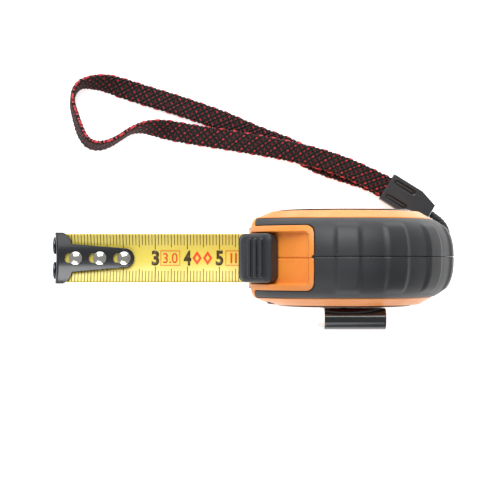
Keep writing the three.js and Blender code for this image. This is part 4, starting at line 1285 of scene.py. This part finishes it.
@dataclass
class LockButton:
    """The thumb button that slides up the lock track."""

    case: Case
    start: float = -1.0
    length: float = 12.2
    half: float = 7.0
    height: float = 3.9
    clearance: float = 0.3
    corner: float = 2.2
    shoulder: float = 1.3
    crown: float = 0.012
    rib_first: float = 3.8
    rib_pitch: float = 2.1
    rib_width: float = 1.0
    rib_height: float = 0.5
    rib_length: float = 11.7

    def place(self, s: float, y: float, n: float) -> Point:
        """A point s up the slope, y across and n out from the track's floor."""
        x, z = self.case.on_track(s, n)
        return (x, y, z)

    def cap(self) -> bpy.types.Object:
        """The button's soft edged body, its stem and its three round ribs.

        Returns:
            The button.
        """
        low, top = self.clearance, self.clearance + self.height
        end = self.start + self.length
        fall = self.shoulder
        levels = [(low, 0.25), (low + 0.25, 0), (top - fall, 0)]
        levels += [(top - fall + fall * math.sin(t), fall * (1 - math.cos(t)))
                   for t in np.linspace(0.2, 1.571, 7)]
        rings = []
        for n, inset in levels:
            shape = rounded(self.start + inset, end - inset, -self.half + inset, self.half - inset,
                            max(self.corner - inset * 0.6, 0.8))
            # the top is crowned along the slope
            middle, crowned = (self.start + end) / 2, self.crown * (n > top - 0.5)
            rings.append([self.place(a, b, n - crowned * (a - middle) ** 2) for a, b in shape])
        body = loft("lock_thumb_button", np.array(rings))
        for i in range(3):
            s = self.rib_first + i * self.rib_pitch
            shape = rounded(s - self.rib_width / 2, s + self.rib_width / 2, -self.rib_length / 2 + 0.3,
                            self.rib_length / 2 - 0.3, self.rib_width / 2 - 0.01)
            combine(body, prism("rib", shape, self.place, top - 0.8, top + self.rib_height), "UNION")
            for edge in (-1, 1):
                a = s + edge * (self.rib_width / 2 + 0.14)
                line = rounded(a - 0.12, a + 0.12, -5.0, 5.0, 0.1)
                combine(body, prism("valley", line, self.place, top - 0.3, top + 1))
        shape = rounded(0.2, 2.4, -1.9, 1.9, 0.3)
        combine(body, prism("stem", shape, self.place, -1.9, low + 0.5), "UNION")
        return soften(body, 0.13, 3, 0.6)

    def build(self) -> None:
        """Makes the button and its slider under the floor."""
        register(self.cap(), SATIN_NYLON, "lock", ["lock_button"])
        shape = rounded(-0.4, 6.6, -5, 5, 1)
        slider = prism("lock_slide_plate", shape, self.place, -3.9, -2.1)
        edge = slider.modifiers.new("edge", "BEVEL")
        edge.width = 0.25 * MM
        edge.segments = 2
        bake(slider)
        slider.data.shade_smooth()
        register(slider, SATIN_NYLON, "lock", ["lock_slider"])


# ---------------------------------------------------------------- blade and hook


@dataclass
class Blade:
    """The cupped yellow blade with its scale, printed as thin films on the inside of the cup."""

    cup: float = 13.7
    underside: float = 6.0
    thickness: float = 0.4
    width: float = 16.0
    zero: float = -87.2
    start: float = -86.0
    end: float = -27.0
    film: float = 0.035
    digit_height: float = 4.7
    digit_width: float = 2.35

    @property
    def centre(self) -> float:
        """Height of the cup's centre."""
        return self.underside + self.cup

    def surface(self, y: float, lift: float = 0.0) -> float:
        """Height of the cup's inside at a distance from the middle."""
        inner = self.cup - self.thickness - lift
        return self.centre - math.sqrt(inner * inner - y * y)

    def strip(self) -> bpy.types.Object:
        """The blade's visible length.

        Returns:
            The strip.
        """
        half = self.width / 2 / self.cup
        angles = np.linspace(-half, half, 33)
        outer = [(self.cup * math.sin(a), self.centre - self.cup * math.cos(a)) for a in angles]
        inner_radius = self.cup - self.thickness
        inner = [(inner_radius * math.sin(a), self.centre - inner_radius * math.cos(a)) for a in angles[::-1]]
        return prism("blade_spring_strip", outer + inner, end_on, self.start, self.end, 60)

    def tick_tree(self) -> tuple[bpy.types.NodeTree, dict[str, str]]:
        """A tree that prints a row of ticks along one edge, bent to the cup.

        Returns:
            The tree and its inputs' identifiers.
        """
        tree = bpy.data.node_groups.new("scale_ticks", "GeometryNodeTree")
        sockets = named_inputs(tree, {
            "Count": 10, "First": 0.0, "Pitch": 1 * MM, "Length": 3.5 * MM, "Width": 0.16 * MM, "Side": 1.0,
            "Edge": 7.5 * MM, "Cup Radius": 13.3 * MM, "Cup Centre": 19.7 * MM})
        given = add_node(tree, "NodeGroupInput")
        start = add_node(tree, "ShaderNodeCombineXYZ", {0: given.outputs["First"]})
        pitch = add_node(tree, "ShaderNodeCombineXYZ", {0: given.outputs["Pitch"]})
        row = add_node(tree, "GeometryNodeMeshLine", {
            "Count": given.outputs["Count"], "Start Location": start.outputs[0], "Offset": pitch.outputs[0]})
        size = add_node(tree, "ShaderNodeCombineXYZ", {
            0: given.outputs["Width"], 1: given.outputs["Length"], 2: 2 * self.film * MM})
        bar = add_node(tree, "GeometryNodeMeshCube", {"Size": size.outputs[0], "Vertices Y": 8})
        bars = add_node(tree, "GeometryNodeInstanceOnPoints", {
            "Points": row.outputs[0], "Instance": bar.outputs["Mesh"]})
        half = add_node(tree, "ShaderNodeMath", {0: given.outputs["Length"], 1: 0.5}, operation="MULTIPLY")
        inset = add_node(tree, "ShaderNodeMath", {0: given.outputs["Edge"], 1: half.outputs[0]},
                         operation="SUBTRACT")
        moved = add_node(tree, "ShaderNodeMath", {0: inset.outputs[0], 1: given.outputs["Side"]},
                         operation="MULTIPLY")
        spot = add_node(tree, "GeometryNodeInputPosition")
        parts = add_node(tree, "ShaderNodeSeparateXYZ", {0: spot.outputs[0]})
        y = add_node(tree, "ShaderNodeMath", {0: parts.outputs[1], 1: moved.outputs[0]}, operation="ADD")
        y2 = add_node(tree, "ShaderNodeMath", {0: y.outputs[0], 1: y.outputs[0]}, operation="MULTIPLY")
        r2 = add_node(tree, "ShaderNodeMath", {
            0: given.outputs["Cup Radius"], 1: given.outputs["Cup Radius"]}, operation="MULTIPLY")
        rest = add_node(tree, "ShaderNodeMath", {0: r2.outputs[0], 1: y2.outputs[0]}, operation="SUBTRACT")
        root = add_node(tree, "ShaderNodeMath", {0: rest.outputs[0]}, operation="SQRT")
        level = add_node(tree, "ShaderNodeMath", {0: given.outputs["Cup Centre"], 1: root.outputs[0]},
                         operation="SUBTRACT")
        z = add_node(tree, "ShaderNodeMath", {0: level.outputs[0], 1: parts.outputs[2]}, operation="ADD")
        bent = add_node(tree, "ShaderNodeCombineXYZ", {0: parts.outputs[0], 1: y.outputs[0], 2: z.outputs[0]})

        def bend(real: bpy.types.NodeSocket) -> bpy.types.NodeSocket:
            """Lays the bars on the cup."""
            return add_node(tree, "GeometryNodeSetPosition", {
                "Geometry": real, "Position": bent.outputs[0]}).outputs[0]

        finish_tree(tree, given, bars.outputs[0], bend)
        return tree, sockets

    def ticks(self) -> list[bpy.types.Object]:
        """Every millimetre, every fifth and every tenth tick on both edges.

        Returns:
            One object for each row of equal ticks.
        """
        tree, sockets = self.tick_tree()
        rows = []
        groups = [(k, 5, 3.5, 0.2) for k in (2, 3, 4, 6)] + [(5, 10, 4.1, 0.22), (10, 10, 4.8, 0.25)]
        for side in (-1.0, 1.0):
            for first, pitch, length, width in groups:
                x = self.zero + first
                count = int((self.end - 0.3 - x) / pitch) + 1
                row = seeds("ticks", [(0, 0, 0)])
                rows.append(grow(row, tree, sockets, {
                    "Count": count, "First": x * MM, "Pitch": pitch * MM, "Length": length * MM,
                    "Width": width * MM, "Side": side, "Cup Radius": (self.cup - self.thickness) * MM,
                    "Cup Centre": self.centre * MM}, BROWN_INK))
        return rows

    def lay(self, piece: bpy.types.Object) -> bpy.types.Object:
        """Slices a flat mesh lengthwise, lays it on the cup and gives it the film's thickness.

        Args:
            piece: the flat mesh.

        Returns:
            The same object.
        """
        form = bmesh.new()
        form.from_mesh(piece.data)
        for y in np.arange(-6, 6.01, 0.4):
            bmesh.ops.bisect_plane(form, geom=form.verts[:] + form.edges[:] + form.faces[:], dist=1e-8,
                                   plane_co=(0, y * MM, 0), plane_no=(0, 1, 0))
        for spot in form.verts:
            spot.co.z = self.surface(spot.co.y / MM, self.film) * MM
        form.to_mesh(piece.data)
        form.free()
        film = piece.modifiers.new("film", "SOLIDIFY")
        film.thickness = 2 * self.film * MM
        film.offset = 0
        return bake(piece)

    def lettering(self, text: str, x: float, width: float, height: float, bold: float,
                  finish: Finish) -> bpy.types.Object:
        """Figures printed on the blade.

        Args:
            text: what they say.
            x: their middle along the blade.
            width: their whole width.
            height: their height across the blade.
            bold: how far their strokes are thickened, in millimetres.
            finish: their ink.

        Returns:
            The object.
        """
        words = bpy.data.curves.new("figures", "FONT")
        words.body = text
        words.size = 1
        words.fill_mode = "FRONT"
        words.offset = bold / 10
        piece = bpy.data.objects.new("figures", words)
        bpy.context.scene.collection.objects.link(piece)
        bpy.context.view_layer.update()
        mesh = bpy.data.meshes.new_from_object(piece.evaluated_get(bpy.context.evaluated_depsgraph_get()))
        bpy.data.objects.remove(piece)
        flat = bpy.data.objects.new("figures", mesh)
        bpy.context.scene.collection.objects.link(flat)
        spots = np.array([v.co for v in mesh.vertices])
        low, high = spots.min(0), spots.max(0)
        for spot in mesh.vertices:
            a = (spot.co.x - low[0]) / (high[0] - low[0]) - 0.5
            b = (spot.co.y - low[1]) / (high[1] - low[1]) - 0.5
            spot.co = ((x + a * width) * MM, b * height * MM, 0)
        self.lay(flat)
        dress(flat, finish)
        return flat

    def frame_print(self, outer: Sequence[Point], inner: Sequence[Point]) -> bpy.types.Object:
        """A red outline printed between two rings of as many points.

        Args:
            outer: the outer ring.
            inner: the inner ring.

        Returns:
            The object.
        """
        size = len(outer)
        mesh = bpy.data.meshes.new("outline")
        points = [(a * MM, b * MM, 0) for a, b in [*outer, *inner]]
        ring = [[i, (i + 1) % size, size + (i + 1) % size, size + i] for i in range(size)]
        mesh.from_pydata(points, [], ring)
        piece = bpy.data.objects.new("outline", mesh)
        bpy.context.scene.collection.objects.link(piece)
        self.lay(piece)
        dress(piece, RED_INK)
        return piece

    def box_print(self, x0: float, x1: float, half: float = 2.35, line: float = 0.18) -> bpy.types.Object:
        """A thin red box printed from one place to another.

        Args:
            x0: its start along the blade.
            x1: its end along the blade.
            half: half of its height across the blade.
            line: the width of its line.

        Returns:
            The object.
        """
        return self.frame_print([(x0, -half), (x1, -half), (x1, half), (x0, half)],
                                [(x0 + line, -half + line), (x1 - line, -half + line),
                                 (x1 - line, half - line), (x0 + line, half - line)])

    def print_black(self) -> bpy.types.Object:
        """The ticks and the centimetre figures as one film.

        Returns:
            The film.
        """
        rows = self.ticks()
        for number in range(3, 6):
            rows.append(self.lettering(str(number), self.zero + 10 * number, self.digit_width,
                                       self.digit_height, 0.38, BROWN_INK))
        whole = rows[0]
        for row in rows[1:]:
            whole = join(whole, row)
        whole.name = "blade_scale_print"
        return whole

    def print_red(self) -> bpy.types.Object:
        """The blade's length and class in boxes, and plain diamonds between them.

        Returns:
            The film.
        """
        whole = self.box_print(self.zero + 31.6, self.zero + 37.7)
        marks = [self.lettering("3.0", self.zero + 34.65, 4.5, 3.2, 0.05, RED_INK),
                 self.box_print(self.zero + 51.9, self.zero + 57.8),
                 self.lettering("II", self.zero + 54.4, 2.0, 3.2, 0.05, RED_INK)]
        for shift in (43.0, 46.3):
            middle = self.zero + shift
            corners = [(middle - 1.45, 0), (middle, -2.2), (middle + 1.45, 0), (middle, 2.2)]
            inside = [(middle - 0.65, 0), (middle, -1.0), (middle + 0.65, 0), (middle, 1.0)]
            marks.append(self.frame_print(corners, inside))
        for mark in marks:
            whole = join(whole, mark)
        whole.name = "blade_red_print"
        return whole

    def build(self) -> None:
        """Makes the strip and its two prints."""
        register(self.strip(), BLADE_ENAMEL, "blade", ["blade_strip"])
        register(self.print_black(), None, "blade", [])
        register(self.print_red(), None, "blade", [])


@dataclass
class EndHook:
    """The riveted hook: a cupped tongue bent down into a flange that carries two magnets."""

    blade: Blade
    inner: float = -87.2
    flange: float = 1.0
    steel: float = 0.8
    fit: float = 0.2
    half: float = 7.95
    foot: float = 0.6
    length: float = 24.5
    ear: float = 4.6
    root: float = 4.4
    tip: float = 3.05
    bend: float = 1.1

    def cup_height(self, y: np.ndarray, radius: float) -> np.ndarray:
        """Height of a cup of that radius about the blade's cup centre."""
        return self.blade.centre - np.sqrt(radius * radius - y * y)

    def body(self) -> bpy.types.Object:
        """The pressed steel: a sheet bent over the blade's end, with its plan cut and slots punched.

        Returns:
            The hook.
        """
        outer = self.inner - self.flange
        lower = self.blade.cup - self.blade.thickness - self.fit
        upper = lower - self.steel
        tip = outer + self.length
        ys = np.linspace(-self.half, self.half, 41)
        rings = []
        for y in ys:
            top = float(self.cup_height(np.array(y), upper))
            under = float(self.cup_height(np.array(y), lower))
            edge = abs(y) / self.half
            foot = self.foot + 1.2 * max(edge - 0.85, 0) ** 2 / 0.0225
            turn = [(outer + self.bend * (1 - math.sin(t)), top - self.bend * (1 - math.cos(t)))
                    for t in np.linspace(0, math.pi / 2, 9)]
            profile = [(tip + 1, top)] + turn + [(outer, foot), (self.inner, foot), (self.inner, under),
                                                 (tip + 1, under)]
            rings.append([(a, y, b) for a, b in profile])
        sheet = loft("hook_plate", np.array(rings))
        shape = [(outer - 3, -self.half - 1), (outer + self.ear - 2, -self.half - 1),
                 (outer + self.ear - 2, -self.half)]
        for side in (-1, 1):
            curve = [self.fillet(t, side, outer + self.ear) for t in np.linspace(0, 1, 9)]
            if side < 0:
                shape += curve + arc(tip - self.tip, 0, self.tip, -90, 90, 20)
            else:
                shape += curve[::-1]
        shape += [(outer + self.ear - 2, self.half), (outer + self.ear - 2, self.half + 1),
                  (outer - 3, self.half + 1)]
        combine(sheet, prism("hook_plan", shape, plan, -5, 30), "INTERSECT")
        for x in self.rivets():
            slot = rounded(x - 3.5, x + 1.45, -1.45, 1.45, 1.44)
            combine(sheet, prism("hook_slot", slot, plan, 5, 12))
        return soften(sheet, 0.11, 3, 0.5)

    def fillet(self, t: float, side: int, ear: float) -> Point:
        """A point on the curve from the ear into the tongue.

        Args:
            t: how far along the curve, from 0 to 1.
            side: 1 for the strap's side and -1 for the clip's.
            ear: how far back the ear ends.

        Returns:
            The point.
        """
        a, b, c = (ear - 2, self.half), (ear, self.half - 1), (ear + 0.6, self.root)
        x = (1 - t) ** 2 * a[0] + 2 * t * (1 - t) * b[0] + t * t * c[0]
        y = (1 - t) ** 2 * a[1] + 2 * t * (1 - t) * b[1] + t * t * c[1]
        return (x, side * y)

    @staticmethod
    def rivets() -> list[float]:
        """Where the rivets stand along the blade."""
        return [sum(v.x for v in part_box(f"hook_rivet_{i}")) / 2 / MM for i in (1, 2, 3)]

    def build(self) -> None:
        """Makes the hook, its rivets and its magnets."""
        register(self.body(), BLACK_OXIDE, "hook", ["end_hook"])
        tree, sockets = stud_tree()
        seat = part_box("hook_rivet_1")[1].z / MM - 0.7
        heads = seeds("rivet_heads", [(x, 0, seat - 0.05) for x in self.rivets()])
        grow(heads, tree, sockets, {"Radius": 2.05 * MM, "Height": 0.75 * MM, "Dome": 0.62 * MM}, NICKEL)
        register(heads, None, "blade", ["hook_rivet_1", "hook_rivet_2", "hook_rivet_3"])
        for i in (1, 2):
            low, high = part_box(f"hook_magnet_{i}")
            y, z = (low.y + high.y) / 2 / MM, (low.z + high.z) / 2 / MM
            a, b, r = low.x / MM, high.x / MM, (high.y - low.y) / 2 / MM
            profile = [(0.02, b), (r, b), (r, a + 0.15), (r - 0.15, a), (r - 0.7, a), (r - 0.8, a + 0.08),
                       (0.02, a + 0.08)]
            register(turned(f"magnet_disc_{i}", profile, (0, y, z), "x", 56), MAGNET, "hook",
                     [f"hook_magnet_{i}"])


# ---------------------------------------------------------------- belt clip and screws


@dataclass
class BeltClip:
    """The spring steel belt clip and the screws on its side of the case."""

    steel: float = 0.8
    gap: float = 4.6
    inner: float = -14.35
    front: float = -6.7
    back: float = 10.9
    bend_height: float = 45.0
    inner_foot: float = 22.0
    outer_foot: float = 9.0
    flare: float = 0.8
    access: float = 3.6
    clip_head: float = 3.2
    case_head: float = 1.75
    head_share: float = 0.36

    def body(self) -> bpy.types.Object:
        """The folded strip, with round corners at both feet and a hole to reach the screw.

        Returns:
            The clip.
        """
        middle = self.inner - self.steel - self.gap / 2
        radius = self.gap / 2 + self.steel
        outer = middle - radius
        lip, flared = self.outer_foot + 5, outer - self.flare
        shape = ([(self.inner, self.inner_foot)] + arc(middle, self.bend_height, radius, 0, 180, 28)
                 + [(outer, lip), (flared, self.outer_foot), (flared + self.steel, self.outer_foot),
                    (outer + self.steel, lip)]
                 + arc(middle, self.bend_height, radius - self.steel, 180, 0, 28)
                 + [(self.inner - self.steel, self.inner_foot)])
        clip = prism("belt_clip_strip", shape, end_on, self.front, self.back)
        for foot, low, high in ((self.outer_foot, -30, middle), (self.inner_foot, middle, 0)):
            corners = rounded(self.front, self.back, foot, 80, 3)
            combine(clip, self.outside(corners, foot, low, high))
        combine(clip, turned("reach", [(0, -40), (self.access, -40), (self.access, middle), (0, middle)],
                             (0, 0, 30)))
        combine(clip, turned("screw_hole", [(0, middle), (1.3, middle), (1.3, 0), (0, 0)], (0, 0, 30)))
        return soften(clip, 0.17, 2, 0.45)

    def outside(self, corners: Sequence[Point], foot: float, low: float, high: float) -> bpy.types.Object:
        """A cutter for a leg's end that leaves its round cornered outline.

        Args:
            corners: the outline that stays.
            foot: the height of the leg's end.
            low: the first Y that it reaches.
            high: the last Y that it reaches.

        Returns:
            The cutter.
        """
        front, back = self.front - 1, self.back + 1
        shape = [(front, foot - 3), (back, foot - 3), (back, foot + 3), (front, foot + 3)]
        return combine(prism("corners", shape, side_on, low, high),
                       prism("leg", corners, side_on, low - 1, high + 1))

    def screw(self, node: str, head: float) -> bpy.types.Object:
        """A pan head screw with a cross recess, facing the clip's side.

        Args:
            node: the CAD screw that gives its place.
            head: the head's radius.

        Returns:
            The object.
        """
        low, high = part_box(node)
        x, z = (low.x + high.x) / 2 / MM, (low.z + high.z) / 2 / MM
        top, tip = low.y / MM, high.y / MM
        height = self.head_share * head
        seat = top + height
        crown = [(head * math.sin(t), seat - height * math.cos(t)) for t in np.linspace(0.02, math.pi / 2, 8)]
        screw = turned(node + "_cross_head", crown + [(head, seat + 0.15), (1.0, seat + 0.15), (1.0, tip - 1),
                                                      (0.02, tip)], (x, 0, z), steps=40)
        for wide, tall in ((0.22, 0.62), (0.62, 0.22)):
            w, t = wide * head, tall * head
            combine(screw, prism("cross", [(x - w, z - t), (x + w, z - t), (x + w, z + t), (x - w, z + t)],
                                 side_on, top - 1, top + height * 0.8))
        return screw

    def build(self) -> None:
        """Makes the clip and the four screws."""
        register(self.body(), GLOSS_ENAMEL, "case", ["belt_clip"])
        heads = {"clip_screw": self.clip_head, "case_screw_1": self.case_head,
                 "case_screw_2": self.case_head, "case_screw_3": self.case_head}
        for node, head in heads.items():
            register(self.screw(node, head), BLACK_OXIDE, "case", [node])


# ---------------------------------------------------------------- inside, ground and light


def dress_inner_pieces() -> None:
    """Gives each CAD piece that stays its own finish."""
    finishes = {"mouth_bumper": RUBBER, "brake_leaf": ACETAL, "reel_spindle": SPRING_STEEL,
                "reel_drum": ACETAL, "reel_cover": ACETAL, "power_spring": SPRING_STEEL,
                "blade_coil": BLADE_ENAMEL, "blade_lead": BLADE_ENAMEL}
    for node, finish in finishes.items():
        dress(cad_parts[node], finish)


@dataclass
class Studio:
    """A pale table under soft light, seen from straight above."""

    camera_height: float = 480.0
    camera_x: float = -30.8
    lens: float = 113.8
    shift_y: float = 0.0375
    table_half: float = 900.0

    def camera(self) -> None:
        """Sets the camera over the object, looking down."""
        eye = bpy.data.cameras.new("eye")
        eye.lens = self.lens
        eye.sensor_width = 36
        eye.shift_y = self.shift_y
        eye.clip_start = 0.01
        view = bpy.data.objects.new("eye", eye)
        view.location = (self.camera_x * MM, 0, self.camera_height * MM)
        bpy.context.scene.collection.objects.link(view)
        bpy.context.scene.camera = view

    def table(self) -> None:
        """Lays the pale ground under the object."""
        size = self.table_half
        table = prism("table", [(-size, -size), (size, -size), (size, size), (-size, size)], plan, -4, -0.02)
        dress(table, CARD)

    def lights(self) -> None:
        """Hangs one broad light behind the object, one in front and a pale surround."""
        for name, place, width, power in (
                ("back_light", (-0.1, 0.75, 0.75), 0.9, 15.0), ("front_light", (-0.3, -0.8, 0.6), 0.8, 4.0)):
            lamp = bpy.data.lights.new(name, "AREA")
            lamp.size = width
            lamp.energy = power
            light = bpy.data.objects.new(name, lamp)
            light.location = place
            light.rotation_euler = (-Vector(place)).to_track_quat("-Z", "Y").to_euler()
            bpy.context.scene.collection.objects.link(light)
        world = bpy.data.worlds.new("surround")
        world.use_nodes = True
        world.node_tree.nodes["Background"].inputs["Color"].default_value = (1, 1, 1, 1)
        world.node_tree.nodes["Background"].inputs["Strength"].default_value = 0.38
        bpy.context.scene.world = world
        bpy.context.scene.view_settings.view_transform = "Standard"


def main() -> None:
    """Builds the stage, then each sub-assembly."""
    logging.basicConfig(level=logging.INFO, format="%(message)s")
    studio = Studio()
    studio.camera()
    WristStrap().build()
    case = Case()
    case.build()
    LockButton(case).build()
    blade = Blade()
    blade.build()
    EndHook(blade).build()
    BeltClip().build()
    dress_inner_pieces()
    studio.table()
    studio.lights()


if __name__ == "__main__":
    main()
